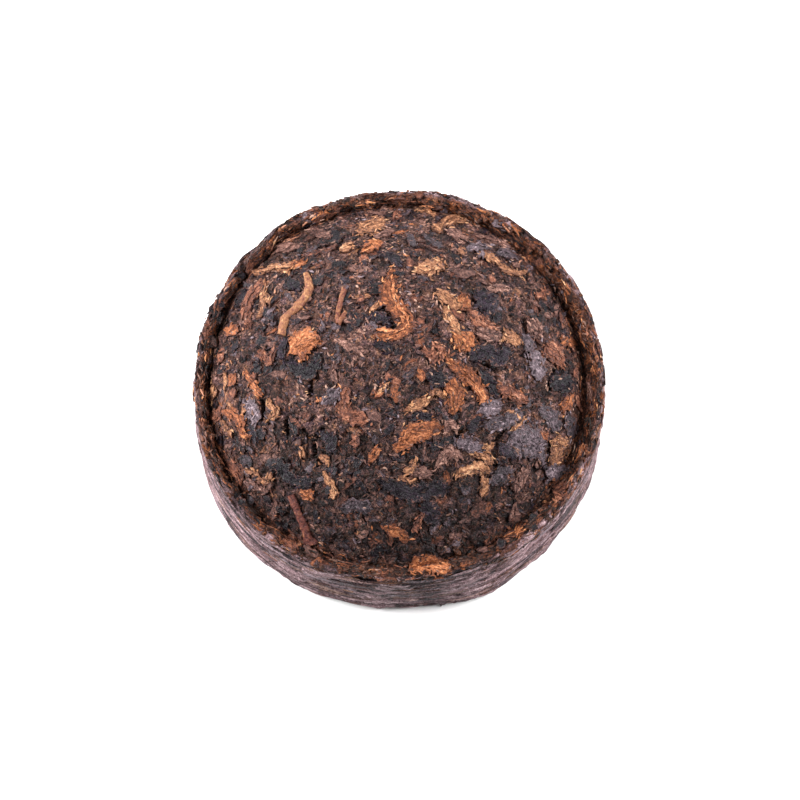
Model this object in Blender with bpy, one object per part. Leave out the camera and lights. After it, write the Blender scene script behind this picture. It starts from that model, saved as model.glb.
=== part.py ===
# A small tuocha: a nest-shaped cake of ripe tea leaves, pressed dry in a round die.
# A low dome fills its top, inside a crumbly lip that stands round a narrow groove. The side is
# upright, with the leaf layers showing as ledges, and a bowl-shaped hollow opens underneath.
# It is one solid. Metres, +Z up, origin at the middle of the foot.

import math
import random

import bmesh
import bpy
from mathutils import Matrix, Vector, noise

MM = 0.001

# Driving dimensions
CAKE_RADIUS = 14.0 * MM
LIP_HEIGHT = 7.6 * MM  # from the foot to the lip's crest
DOME_RISE = 4.7 * MM  # from the lip's crest to the dome's top
LIP_WIDTH = 0.95 * MM
LIP_DROP = 0.2 * MM  # from the lip's crest down to the top edge of the side
GROOVE_DEPTH = 0.75 * MM  # below the lip's crest
GROOVE_FLOOR = 0.15 * MM  # the width of the groove's floor
DOME_OFFSET = Vector((-0.3 * MM, 0.1 * MM, 0.0))  # the punch sat a little to one side
CHIP_FROM, CHIP_TO = math.radians(124), math.radians(156)  # where the lip has crumbled away
CHIP_DEPTH = 0.3 * MM
FOOT_ROUND = 0.7 * MM
HOLLOW_RADIUS = 6.6 * MM
HOLLOW_DEPTH = 5.8 * MM
HOLLOW_EDGE = 0.45 * MM

# How finely each part of the surface is divided
DOME_STEP = 0.58 * MM
RIM_POINTS = 126
WALL_STEP = 0.8 * MM
HOLLOW_STEP = 1.0 * MM

# How uneven the pressed leaves leave the surface
DENT_DEPTH, DENT_SIZE = 0.14 * MM, 4.5 * MM
FLAKE_STEP, FLAKE_SIZE = 0.26 * MM, 1.9 * MM
FLAKE_VARIETY = 5.7  # the larger, the less a flake's level follows its neighbours'
CRACK_DEPTH, CRACK_WIDTH = 0.15 * MM, 0.25  # the width is a share of the flake's size
HOLLOW_GRAIN_DEPTH, HOLLOW_GRAIN_SIZE = 0.12 * MM, 1.3 * MM
CRUMB_DEPTH, CRUMB_SIZE = 0.3 * MM, 1.0 * MM  # along the lip
LEDGE_DEPTH, LEDGE_LENGTH, LEDGE_PITCH = 0.2 * MM, 3.6 * MM, 0.75 * MM  # round the side
OUT_OF_ROUND = 0.0045  # as a share of the radius

# Leaf pieces that stand proud of the dome: x, y of the middle, length, width, all in mm, the way
# the piece points in degrees from +X, and how far its ends curl to one side, in mm
LEAF_PIECES = (
    (-0.6, 6.1, 2.9, 1.4, 98, 0.3),
    (0.1, 4.1, 2.2, 1.0, -42, 0.2),
    (-0.5, 2.2, 2.3, 0.8, 8, -0.5),
    (3.4, 4.9, 2.6, 0.9, -42, 0.2),
    (4.35, 1.9, 1.8, 1.5, 50, 0.0),
    (2.4, 1.1, 1.3, 1.2, 20, 0.0),
    (7.4, 2.8, 2.6, 1.0, -22, 0.2),
    (4.85, -0.9, 3.0, 1.0, -48, 0.3),
    (3.7, -1.75, 1.9, 1.2, 80, 0.0),
    (1.3, -2.7, 1.6, 0.8, 20, 0.0),
    (1.4, -5.0, 3.6, 1.2, 27, -0.2),
    (-3.1, -3.2, 2.3, 1.2, -63, 0.4),
    (-6.6, 2.1, 2.0, 1.5, 40, 0.0),
    (-6.6, 0.5, 1.8, 1.4, -20, 0.0),
    (-9.8, 5.6, 3.3, 0.7, 72, 0.2),
    (-9.3, 5.9, 1.1, 0.9, 80, 0.0),
    (-7.7, 8.2, 2.5, 1.0, 15, 0.1),
    (-1.9, 10.9, 1.7, 0.9, 22, 0.0),
    (-1.9, 9.7, 1.8, 0.8, 32, 0.0),
    (3.4, 11.3, 1.9, 0.7, 0, 0.1),
    (1.95, 7.4, 1.7, 1.3, 10, 0.0),
    (6.1, 5.3, 1.9, 1.8, 60, 0.0),
    (10.5, 2.3, 1.6, 1.5, 0, 0.0),
    (9.4, 3.9, 1.6, 1.5, 50, 0.0),
    (7.5, -1.4, 2.0, 1.0, -30, 0.0),
    (9.0, -4.4, 3.0, 2.5, 20, 0.0),
    (10.8, -4.8, 1.8, 1.3, 60, 0.0),
    (5.4, -6.5, 2.8, 1.7, 12, 0.2),
    (0.7, -7.2, 1.7, 1.0, 10, 0.0),
    (1.2, -8.7, 3.6, 1.7, -12, 0.2),
    (-0.3, -10.7, 1.6, 0.9, -30, 0.0),
    (-10.9, -3.1, 2.3, 0.9, -52, 0.2),
    (-9.3, 1.3, 1.6, 1.1, 100, 0.0),
    (-9.7, -0.6, 1.8, 0.6, -60, 0.0),
    (-11.0, -5.7, 1.4, 1.0, -30, 0.0),
    (5.6, -4.0, 3.2, 1.6, 26, 0.1),
)
LEAF_PROUD = 0.17 * MM
LEAF_SUNK = 0.55 * MM
LEAF_BEVEL = 0.16 * MM
LEAF_POINTS = 12
TORN_EDGE = 0.22  # share of its size by which a leaf's outline wanders
LEAF_SEED = 7

# Twigs pressed into the dome: both ends in mm, and the thickness in mm
TWIGS = (
    ((-7.4, -8.1), (-6.3, -10.9), 0.52),
    ((-6.4, 7.2), (-8.0, 3.0), 0.55),
    ((-3.9, 5.9), (-4.1, 3.4), 0.32),
)
TWIG_SIDES = 8
TWIG_STEPS = 5
TWIG_PROUD = 0.35  # share of its radius that a twig's axis lies above the dome

GROOVE_RADIUS = CAKE_RADIUS - LIP_WIDTH - GROOVE_FLOOR
GROOVE_HEIGHT = LIP_HEIGHT - GROOVE_DEPTH
DOME_HEIGHT = DOME_RISE + GROOVE_DEPTH
DOME_SPHERE = (GROOVE_RADIUS**2 + DOME_HEIGHT**2) / (2 * DOME_HEIGHT)


def clear_scene():
    for obj in list(bpy.data.objects):
        bpy.data.objects.remove(obj, do_unlink=True)


def tea_material():
    material = bpy.data.materials.new("pressed_ripe_tea")
    material.use_nodes = True
    shader = material.node_tree.nodes["Principled BSDF"]
    shader.inputs["Base Color"].default_value = (0.075, 0.040, 0.026, 1.0)
    shader.inputs["Roughness"].default_value = 0.7
    shader.inputs["Metallic"].default_value = 0.0
    return material


def wobble(point, size, seed=0.0):
    """Smooth unevenness from about -1 to 1, with bumps of about the given size."""
    return noise.noise(point / size + Vector((seed, seed, seed)))


def bump(position, low, high):
    """0 outside low and high, rising smoothly to 1 midway between them."""
    if not low < position < high:
        return 0.0
    return math.sin(math.pi * (position - low) / (high - low)) ** 0.5


def dome_point(x, y, above=0.0):
    """The point over x, y on the dome's true sphere, moved out from it by the given distance."""
    centre = DOME_OFFSET + Vector((0.0, 0.0, GROOVE_HEIGHT + DOME_HEIGHT - DOME_SPHERE))
    flat = Vector((x, y, 0.0)) - DOME_OFFSET
    rise = math.sqrt(max(DOME_SPHERE**2 - flat.length_squared, 0.0))
    return centre + (flat + Vector((0.0, 0.0, rise))) * (1.0 + above / DOME_SPHERE)


def dome_rings():
    """Radius and height of each ring of the dome, from the smallest out to the groove."""
    widest = math.asin(GROOVE_RADIUS / DOME_SPHERE)
    count = round(widest * DOME_SPHERE / DOME_STEP)
    for step in range(1, count + 1):
        angle = widest * step / count
        drop = DOME_SPHERE * (1.0 - math.cos(angle))
        yield DOME_SPHERE * math.sin(angle), LIP_HEIGHT + DOME_RISE - drop


def lip_rings():
    """The lip, from the foot of its inner slope over its crest to the edge of the side."""
    inner = GROOVE_RADIUS + GROOVE_FLOOR
    yield inner, LIP_HEIGHT - 0.55 * GROOVE_DEPTH
    yield inner + 0.2 * LIP_WIDTH, LIP_HEIGHT - 0.1 * GROOVE_DEPTH
    yield inner + 0.6 * LIP_WIDTH, LIP_HEIGHT
    yield CAKE_RADIUS, LIP_HEIGHT - LIP_DROP


def side_rings():
    """The upright side, from under the lip down to the start of the foot's rounding."""
    top = LIP_HEIGHT - LIP_DROP
    count = round((top - FOOT_ROUND) / WALL_STEP)
    for step in range(1, count + 1):
        yield CAKE_RADIUS, top + (FOOT_ROUND - top) * step / count


def hollow_rings():
    """The bowl under the cake, from its rounded mouth up to its top."""
    yield HOLLOW_RADIUS + HOLLOW_EDGE, 0.0
    depth = HOLLOW_DEPTH - HOLLOW_EDGE
    count = round(0.5 * math.pi * HOLLOW_RADIUS / HOLLOW_STEP)
    for step in range(count):
        angle = 0.5 * math.pi * step / count
        yield HOLLOW_RADIUS * math.cos(angle), HOLLOW_EDGE + depth * math.sin(angle)


def flakes(point):
    """Leaf flakes pressed side by side: each at its own level, with a sunk crack round it."""
    distances, middles = noise.voronoi(point / FLAKE_SIZE)
    level = noise.noise(middles[0] * FLAKE_VARIETY)
    crack = max(0.0, 1.0 - (distances[1] - distances[0]) / CRACK_WIDTH)
    return FLAKE_STEP * level - CRACK_DEPTH * crack


def rough_dome(point):
    """Dents and leaf flakes, straight out from the dome."""
    outwards = (point - dome_point(0.0, 0.0, -DOME_SPHERE)).normalized()
    dents = DENT_DEPTH * wobble(point, DENT_SIZE, 3.0)
    return point + outwards * (dents + flakes(point))


def out_of_round(point):
    """The die's slight ovalness, and the cake's spring-back after pressing."""
    angle = math.atan2(point.y, point.x)
    swell = math.sin(2.0 * angle + 0.6) + 0.7 * math.sin(3.0 * angle + 2.1)
    scale = 1.0 + OUT_OF_ROUND * swell
    return Vector((point.x * scale, point.y * scale, point.z))


def rough_lip(point):
    """Torn crumbs along the lip, and the stretch where some of it has broken away."""
    outwards = Vector((point.x, point.y, 0.0)).normalized()
    chip = CHIP_DEPTH * bump(math.atan2(point.y, point.x), CHIP_FROM, CHIP_TO)
    crumb = CRUMB_DEPTH * wobble(point, CRUMB_SIZE, 5.0)
    lift = CRUMB_DEPTH * wobble(point, CRUMB_SIZE, 9.0)
    moved = out_of_round(point)
    return moved + outwards * (0.4 * crumb - chip) + Vector((0.0, 0.0, lift - 0.5 * chip))


def rough_side(point):
    """Leaf layers seen edge-on: long shallow ledges that run round the side."""
    angle = math.atan2(point.y, point.x)
    along = CAKE_RADIUS / LEDGE_LENGTH
    layered = Vector((math.cos(angle) * along, math.sin(angle) * along, point.z / LEDGE_PITCH))
    outwards = Vector((point.x, point.y, 0.0)).normalized()
    return out_of_round(point) + outwards * (LEDGE_DEPTH * noise.noise(layered))


def rough_hollow(point):
    """The hollow's walls, roughened, with its mouth kept level so that the foot stays flat."""
    if point.z < HOLLOW_EDGE:
        return point
    grain = HOLLOW_GRAIN_DEPTH * wobble(point, HOLLOW_GRAIN_SIZE, 17.0)
    return point + point.normalized() * grain


def add_ring(bm, radius, height, points, rough, middle=Vector()):
    """One closed ring of the cake's surface, and the edges that make it up."""
    place = Matrix.Translation(middle + Vector((0.0, 0.0, height)))
    made = bmesh.ops.create_circle(bm, segments=points, radius=radius, matrix=place)
    for vertex in made["verts"]:
        vertex.co = rough(vertex.co)
    return list({edge for vertex in made["verts"] for edge in vertex.link_edges})


def cap(bm, edges):
    """Closes the smallest ring with a fan of triangles."""
    face = bmesh.ops.contextual_create(bm, geom=edges)["faces"]
    bmesh.ops.poke(bm, faces=face)


def cake_body():
    """The cake without its proud leaves: a stack of rings, each bridged to the next."""
    bm = bmesh.new()
    rings = []
    for radius, height in dome_rings():
        points = min(RIM_POINTS, max(6, round(2.0 * math.pi * radius / DOME_STEP)))
        rings.append(add_ring(bm, radius, height, points, rough_dome, DOME_OFFSET))
    for radius, height in lip_rings():
        rings.append(add_ring(bm, radius, height, RIM_POINTS, rough_lip))
    for radius, height in side_rings():
        rings.append(add_ring(bm, radius, height, RIM_POINTS, rough_side))
    waist = CAKE_RADIUS - 0.3 * FOOT_ROUND
    rings.append(add_ring(bm, waist, 0.3 * FOOT_ROUND, RIM_POINTS, out_of_round))
    rings.append(add_ring(bm, CAKE_RADIUS - FOOT_ROUND, 0.0, RIM_POINTS, out_of_round))
    for radius, height in hollow_rings():
        points = max(8, round(2.0 * math.pi * radius / HOLLOW_STEP))
        rings.append(add_ring(bm, radius, height, points, rough_hollow))
    for ring, following in zip(rings, rings[1:]):
        bmesh.ops.bridge_loops(bm, edges=ring + following)
    cap(bm, rings[0])
    cap(bm, rings[-1])
    bmesh.ops.recalc_face_normals(bm, faces=bm.faces)
    return bm


def leaf_piece(x, y, length, width, turn, curl, draw):
    """A torn piece of leaf, bevelled round its top edge and laid on the dome."""
    bm = bmesh.new()
    made = bmesh.ops.create_circle(bm, segments=LEAF_POINTS, radius=1.0, cap_ends=True)
    for vertex in made["verts"]:
        torn = 1.0 + TORN_EDGE * draw.uniform(-1.0, 1.0)
        along = 0.5 * length * MM * vertex.co.x * torn
        across = 0.5 * width * MM * vertex.co.y * torn
        bow = curl * MM * (vertex.co.x**2 - 0.5)
        vertex.co = Vector((along, across + bow, LEAF_PROUD - 0.5 * LEAF_BEVEL))
    bmesh.ops.inset_region(bm, faces=bm.faces, thickness=LEAF_BEVEL, use_even_offset=True)
    top = max(bm.faces, key=lambda face: len(face.verts))
    rim = [edge for edge in bm.edges if edge.is_boundary]
    for vertex in top.verts:
        vertex.co.z = LEAF_PROUD
    skirt = bmesh.ops.extrude_edge_only(bm, edges=rim)["geom"]
    for vertex in skirt:
        if isinstance(vertex, bmesh.types.BMVert):
            vertex.co.z = -LEAF_SUNK
    bottom = [edge for edge in bm.edges if edge.is_boundary]
    bmesh.ops.contextual_create(bm, geom=bottom)
    spin = Matrix.Rotation(math.radians(turn), 3, "Z")
    for vertex in bm.verts:
        flat = spin @ Vector((vertex.co.x, vertex.co.y, 0.0))
        vertex.co = dome_point(x * MM + flat.x, y * MM + flat.y, vertex.co.z)
    return bm


def twig(start, end, thickness):
    """A tapered stalk, lying half sunk along the dome from one point to the other."""
    bm = bmesh.new()
    radius = 0.5 * thickness * MM
    first, last = Vector(start) * MM, Vector(end) * MM
    across = Vector((first.y - last.y, last.x - first.x)).normalized()
    rings = []
    for step in range(TWIG_STEPS + 1):
        share = step / TWIG_STEPS
        spot = first.lerp(last, share)
        girth = radius * (0.8 + 0.35 * share)
        made = bmesh.ops.create_circle(bm, segments=TWIG_SIDES, radius=girth)
        for vertex in made["verts"]:
            side = spot + across * vertex.co.x
            vertex.co = dome_point(side.x, side.y, TWIG_PROUD * radius + vertex.co.y)
        rings.append(list({edge for vertex in made["verts"] for edge in vertex.link_edges}))
    for ring, following in zip(rings, rings[1:]):
        bmesh.ops.bridge_loops(bm, edges=ring + following)
    bmesh.ops.contextual_create(bm, geom=rings[0])
    bmesh.ops.contextual_create(bm, geom=rings[-1])
    return bm


def as_object(bm, name, collection):
    bmesh.ops.recalc_face_normals(bm, faces=bm.faces)
    mesh = bpy.data.meshes.new(name)
    bm.to_mesh(mesh)
    bm.free()
    obj = bpy.data.objects.new(name, mesh)
    collection.objects.link(obj)
    return obj


def proud_pieces():
    """A collection of every leaf piece and twig that stands out of the dome."""
    collection = bpy.data.collections.new("proud_pieces")
    bpy.context.scene.collection.children.link(collection)
    draw = random.Random(LEAF_SEED)
    for number, leaf in enumerate(LEAF_PIECES):
        as_object(leaf_piece(*leaf, draw), f"leaf_{number}", collection)
    for number, stalk in enumerate(TWIGS):
        as_object(twig(*stalk), f"twig_{number}", collection)
    return collection


def fuse(obj, collection):
    """Joins the collection's pieces to the object in one union, and removes them."""
    join = obj.modifiers.new("fuse", "BOOLEAN")
    join.operation = "UNION"
    join.solver = "MANIFOLD"
    join.operand_type = "COLLECTION"
    join.collection = collection
    graph = bpy.context.evaluated_depsgraph_get()
    fused = bpy.data.meshes.new_from_object(obj.evaluated_get(graph))
    obj.modifiers.clear()
    obj.data = fused
    for piece in list(collection.objects):
        bpy.data.objects.remove(piece, do_unlink=True)
    bpy.data.collections.remove(collection)


def centre_on_origin(mesh):
    """Puts the middle of the cake's outline over the origin."""
    low = Vector((min(v.co.x for v in mesh.vertices), min(v.co.y for v in mesh.vertices), 0.0))
    high = Vector((max(v.co.x for v in mesh.vertices), max(v.co.y for v in mesh.vertices), 0.0))
    mesh.transform(Matrix.Translation(-0.5 * (low + high)))


def main():
    clear_scene()
    cake = as_object(cake_body(), "tea_cake", bpy.context.scene.collection)
    fuse(cake, proud_pieces())
    centre_on_origin(cake.data)
    cake.data.materials.clear()
    cake.data.materials.append(tea_material())
    cake.data.shade_smooth()
    cake.data.set_sharp_from_angle(angle=math.radians(32))


main()
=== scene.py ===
import math

import bmesh
import bpy
import numpy as np
from mathutils import Matrix, Vector, noise
from mathutils.bvhtree import BVHTree
from mathutils.kdtree import KDTree


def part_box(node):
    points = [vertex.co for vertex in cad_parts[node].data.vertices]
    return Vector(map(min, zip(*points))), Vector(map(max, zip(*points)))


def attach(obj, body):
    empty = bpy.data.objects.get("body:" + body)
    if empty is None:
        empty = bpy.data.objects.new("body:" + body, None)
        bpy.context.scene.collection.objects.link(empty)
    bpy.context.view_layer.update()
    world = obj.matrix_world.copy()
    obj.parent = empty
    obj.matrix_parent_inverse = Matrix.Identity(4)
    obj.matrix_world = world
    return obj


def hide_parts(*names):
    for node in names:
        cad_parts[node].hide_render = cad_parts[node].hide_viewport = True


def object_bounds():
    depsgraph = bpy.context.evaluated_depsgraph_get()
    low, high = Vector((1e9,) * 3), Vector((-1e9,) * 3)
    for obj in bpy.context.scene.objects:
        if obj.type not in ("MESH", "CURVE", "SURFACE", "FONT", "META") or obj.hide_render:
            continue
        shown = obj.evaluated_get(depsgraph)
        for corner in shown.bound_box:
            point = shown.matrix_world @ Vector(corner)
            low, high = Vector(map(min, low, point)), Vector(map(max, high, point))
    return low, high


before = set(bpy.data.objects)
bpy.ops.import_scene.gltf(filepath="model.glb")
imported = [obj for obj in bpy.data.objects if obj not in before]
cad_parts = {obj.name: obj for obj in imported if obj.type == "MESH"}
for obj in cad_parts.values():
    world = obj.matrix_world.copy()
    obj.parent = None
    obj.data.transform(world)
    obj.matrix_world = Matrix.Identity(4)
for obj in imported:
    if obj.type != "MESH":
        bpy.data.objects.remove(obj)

cad_low, cad_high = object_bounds()

# The viewpoint
# The camera stands where the photograph's stood: in front of the cake and well above it, looking
# down at the dome, and so far off that the upright side hardly narrows towards its foot.
MM = 0.001
PHOTO_SIDE = 800  # the photograph's width and height in its own pixels
SEEN_ACROSS = 54.35 * MM  # what that width takes in at the cake
CAMERA_RISE = math.radians(73.4)
CAMERA_AWAY = 400 * MM
CAMERA_AIM = Vector((0.07, -1.1, 7.275)) * MM
SENSOR = 36.0


def add_object(name, data):
    """A new object at the origin of the scene that shows the given mesh, lamp or camera."""
    made = bpy.data.objects.new(name, data)
    bpy.context.scene.collection.objects.link(made)
    return made


camera_data = bpy.data.cameras.new("camera")
camera_data.sensor_width = SENSOR
camera_data.lens = SENSOR * CAMERA_AWAY / SEEN_ACROSS
camera_data.clip_start = 10 * MM
camera = add_object("camera", camera_data)
camera.location = CAMERA_AIM + CAMERA_AWAY * Vector((0, -math.cos(CAMERA_RISE), math.sin(CAMERA_RISE)))
camera.rotation_euler = (math.radians(90) - CAMERA_RISE, 0, 0)
bpy.context.scene.camera = camera
camera_turn = camera.rotation_euler.to_matrix()


def way_through(across, down):
    """The direction from the camera through a place in the photograph, given in its pixels."""
    right = (across / PHOTO_SIDE - 0.5) * SENSOR
    up = (0.5 - down / PHOTO_SIDE) * SENSOR
    return (camera_turn @ Vector((right, up, -camera_data.lens))).normalized()


# The cake's form
# A round die gave the upright side, a domed punch shaped the top and squeezed up a thin lip round
# its edge, and a rod pressed the bowl underneath. Everything else is laid on this form.
LEAF_SKIN = 0.02 * MM  # room left between this form and the cake's own size for the leaves on it
TOP_ROOM = 0.22 * MM  # the same above the dome, where the flakes stand farther out
cake_low, cake_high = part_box("tea_cake")
CAKE_RADIUS = 0.5 * (cake_high.y - cake_low.y) - LEAF_SKIN
DOME_TOP = cake_high.z - TOP_ROOM
DOME_OFFSET = Vector((-0.3, 0.1, 0.0)) * MM
DENT_DEPTH, DENT_SIZE, DENT_SEED = 0.14 * MM, 4.5 * MM, 3.0
GROOVE_DEPTH, GROOVE_FLOOR = 0.75 * MM, 0.18 * MM
GROOVE_REACH = 0.5 * MM  # how far from its middle the groove's sides reach
DEEP_GROOVE = 0.4 * MM  # how much deeper the groove is at its deepest, left and right
DEEP_LEFT = math.radians(95), math.radians(235)  # angles are counted from the right, by the back
DEEP_RIGHT = math.radians(125), math.radians(235)  # this pair from the left, by the front
LIP_HEIGHT, LIP_WIDTH, LIP_DROP = 7.5 * MM, 0.95 * MM, 0.12 * MM
LIP_UNEVEN, LIP_WAVE = 0.42 * MM, 1.5 * MM  # how far the lip strays in and up, and over what length
LIP_IN_SEED, LIP_UP_SEED = 9.0, 11.0
CHIP_DEPTH = 0.3 * MM  # the lip is worn away by this much at the upper left
CHIP_FROM, CHIP_TO = math.radians(124), math.radians(156)
OUT_OF_ROUND = 0.0045
BULGE_REACH = 0.38 * MM  # how far the side stands out at the foot, at the lower right
BULGE_FROM, BULGE_TO = math.radians(-86), math.radians(-48)
FOOT_ROUND, FOOT_STEPS = 0.4 * MM, 5
HOLLOW_RADIUS, HOLLOW_DEPTH, HOLLOW_EDGE = 6.55 * MM, 5.75 * MM, 0.45 * MM
# How far apart the form's points are, before they are cut finer
DOME_STEP = 0.39 * MM
ROUND_STEP = 0.6 * MM
LIP_STEP = SIDE_STEP = 0.3 * MM
UNDER_STEP = 0.7 * MM

groove_radius = CAKE_RADIUS - LIP_WIDTH - GROOVE_FLOOR
dome_height = DOME_TOP - LIP_HEIGHT + GROOVE_DEPTH
dome_sphere = (groove_radius**2 + dome_height**2) / (2 * dome_height)
dome_centre = DOME_OFFSET + Vector((0, 0, DOME_TOP - dome_sphere))


def swell(position, low, high):
    """0 outside low and high, rising smoothly to 1 midway between them."""
    share = min(1.0, max(0.0, (position - low) / (high - low)))
    return math.sin(math.pi * share) ** 2


def grain(point, size, seed=0.0):
    """Smooth unevenness, about -0.5 to 0.5, with bumps of about the given size."""
    return noise.noise(point / size + Vector((seed, seed, seed)))


def dome_rings(step):
    """The radius and the height of each ring of the dome, from its top outwards."""
    widest = math.asin(groove_radius / dome_sphere)
    count = round(widest * dome_sphere / step)
    for number in range(1, count + 1):
        angle = widest * number / count
        yield dome_sphere * math.sin(angle), dome_centre.z + dome_sphere * math.cos(angle)


def lip_rings(step):
    """The profile of the lip, cut into short steps."""
    inner = groove_radius + GROOVE_FLOOR
    corners = (
        (groove_radius, LIP_HEIGHT - GROOVE_DEPTH),
        (inner, LIP_HEIGHT - 0.6 * GROOVE_DEPTH),
        (inner + 0.22 * LIP_WIDTH, LIP_HEIGHT - 0.1 * GROOVE_DEPTH),
        (inner + 0.6 * LIP_WIDTH, LIP_HEIGHT),
        (CAKE_RADIUS - 0.08 * LIP_WIDTH, LIP_HEIGHT - 0.35 * LIP_DROP),
        (CAKE_RADIUS, LIP_HEIGHT - LIP_DROP),
    )
    for (radius, height), (radius_after, height_after) in zip(corners, corners[1:]):
        count = max(1, round(math.hypot(radius_after - radius, height_after - height) / step))
        for number in range(1, count + 1):
            share = number / count
            yield radius + (radius_after - radius) * share, height + (height_after - height) * share


def side_rings(step):
    """The upright side, and the rounding down to the foot."""
    top = LIP_HEIGHT - LIP_DROP
    count = round((top - FOOT_ROUND) / step)
    for number in range(1, count + 1):
        yield CAKE_RADIUS, top + (FOOT_ROUND - top) * number / count
    for number in range(1, FOOT_STEPS):
        turn = 0.5 * math.pi * (number / FOOT_STEPS)
        yield CAKE_RADIUS - FOOT_ROUND * (1 - math.cos(turn)), FOOT_ROUND * (1 - math.sin(turn))


def under_rings(step):
    """The flat ring that the cake stands on, and the bowl inside it."""
    outer, mouth = CAKE_RADIUS - FOOT_ROUND, HOLLOW_RADIUS + HOLLOW_EDGE
    count = round((outer - mouth) / step)
    for number in range(count + 1):
        yield outer + (mouth - outer) * number / count, 0.0
    yield HOLLOW_RADIUS + 0.3 * HOLLOW_EDGE, 0.3 * HOLLOW_EDGE
    depth = HOLLOW_DEPTH - HOLLOW_EDGE
    count = round(0.5 * math.pi * HOLLOW_RADIUS / step)
    for number in range(count):
        angle = 0.5 * math.pi * number / count
        yield HOLLOW_RADIUS * math.cos(angle), HOLLOW_EDGE + depth * math.sin(angle)


def settle(point):
    """Moves a point of the true form to where the real, uneven cake has it."""
    angle = math.atan2(point.y, point.x)
    reach = math.hypot(point.x, point.y)
    above = point.z > FOOT_ROUND
    if above and reach < groove_radius + GROOVE_REACH:
        outwards = (point - dome_centre).normalized()
        edge = math.hypot(point.x - DOME_OFFSET.x, point.y - DOME_OFFSET.y)
        near = swell(edge, groove_radius - GROOVE_REACH, groove_radius + GROOVE_REACH)
        deep = swell(angle % math.tau, *DEEP_LEFT)
        deep = max(deep, swell((angle + math.pi) % math.tau, *DEEP_RIGHT))
        point = point + outwards * DENT_DEPTH * grain(point, DENT_SIZE, DENT_SEED)
        point.z -= DEEP_GROOVE * deep * near
    if above and groove_radius + 0.5 * GROOVE_FLOOR < reach < CAKE_RADIUS - 0.05 * LIP_WIDTH:
        round_it = Vector((math.cos(angle), math.sin(angle), 0)) * CAKE_RADIUS
        inwards = min(1.0, (CAKE_RADIUS - reach) / (0.6 * LIP_WIDTH))
        strays = grain(round_it, LIP_WAVE, LIP_IN_SEED)
        point = point + round_it / CAKE_RADIUS * LIP_UNEVEN * inwards * strays
        point.z += 0.8 * LIP_UNEVEN * min(0.1, grain(round_it, 0.7 * LIP_WAVE, LIP_UP_SEED))
    if reach > groove_radius:
        chip = CHIP_DEPTH * swell(angle, CHIP_FROM, CHIP_TO) * (point.z > LIP_HEIGHT - GROOVE_DEPTH)
        oval = math.sin(2 * angle + 0.6) + 0.7 * math.sin(3 * angle + 2.1) - 1.7 * math.cos(4 * angle)
        bulge = BULGE_REACH * swell(angle, BULGE_FROM, BULGE_TO) * (1 - point.z / LIP_HEIGHT)
        scale = 1 + OUT_OF_ROUND * oval + (bulge - chip) / reach
        point = Vector((point.x * scale, point.y * scale, point.z - 0.5 * chip))
    return point


def each_once(parts):
    """Some parts of a mesh, each of them once, in the order given."""
    return list(dict.fromkeys(parts))


def add_ring(bm, radius, height, step, middle):
    """One closed ring of points, evenly spaced, and the edges that join them."""
    points = max(6, round(math.tau * radius / step))
    place = Matrix.Translation(middle + Vector((0, 0, height)))
    made = bmesh.ops.create_circle(bm, segments=points, radius=radius, matrix=place)
    return each_once(edge for vertex in made["verts"] for edge in vertex.link_edges)


def pressed_form(cuts):
    """The cake's whole closed surface without leaf detail, each face cut finer as often as asked."""
    bm = bmesh.new()
    level = Vector()
    rings = [add_ring(bm, *ring, DOME_STEP, DOME_OFFSET) for ring in dome_rings(DOME_STEP)]
    rings += [add_ring(bm, *ring, ROUND_STEP, level) for ring in lip_rings(LIP_STEP)]
    rings += [add_ring(bm, *ring, ROUND_STEP, level) for ring in side_rings(SIDE_STEP)]
    rings += [add_ring(bm, *ring, UNDER_STEP, level) for ring in under_rings(UNDER_STEP)]
    for ring, following in zip(rings, rings[1:]):
        bmesh.ops.bridge_loops(bm, edges=ring + following)
    for ring in (rings[0], rings[-1]):
        closing = bmesh.ops.contextual_create(bm, geom=ring)["faces"]
        bmesh.ops.poke(bm, faces=closing)
    if cuts:
        bmesh.ops.subdivide_edges(bm, edges=bm.edges, cuts=cuts, use_grid_fill=True)
    for vertex in bm.verts:
        vertex.co = settle(vertex.co)
    bmesh.ops.recalc_face_normals(bm, faces=bm.faces)
    bm.normal_update()
    return bm


core = pressed_form(cuts=0)
core_tree = BVHTree.FromBMesh(core)


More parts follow.
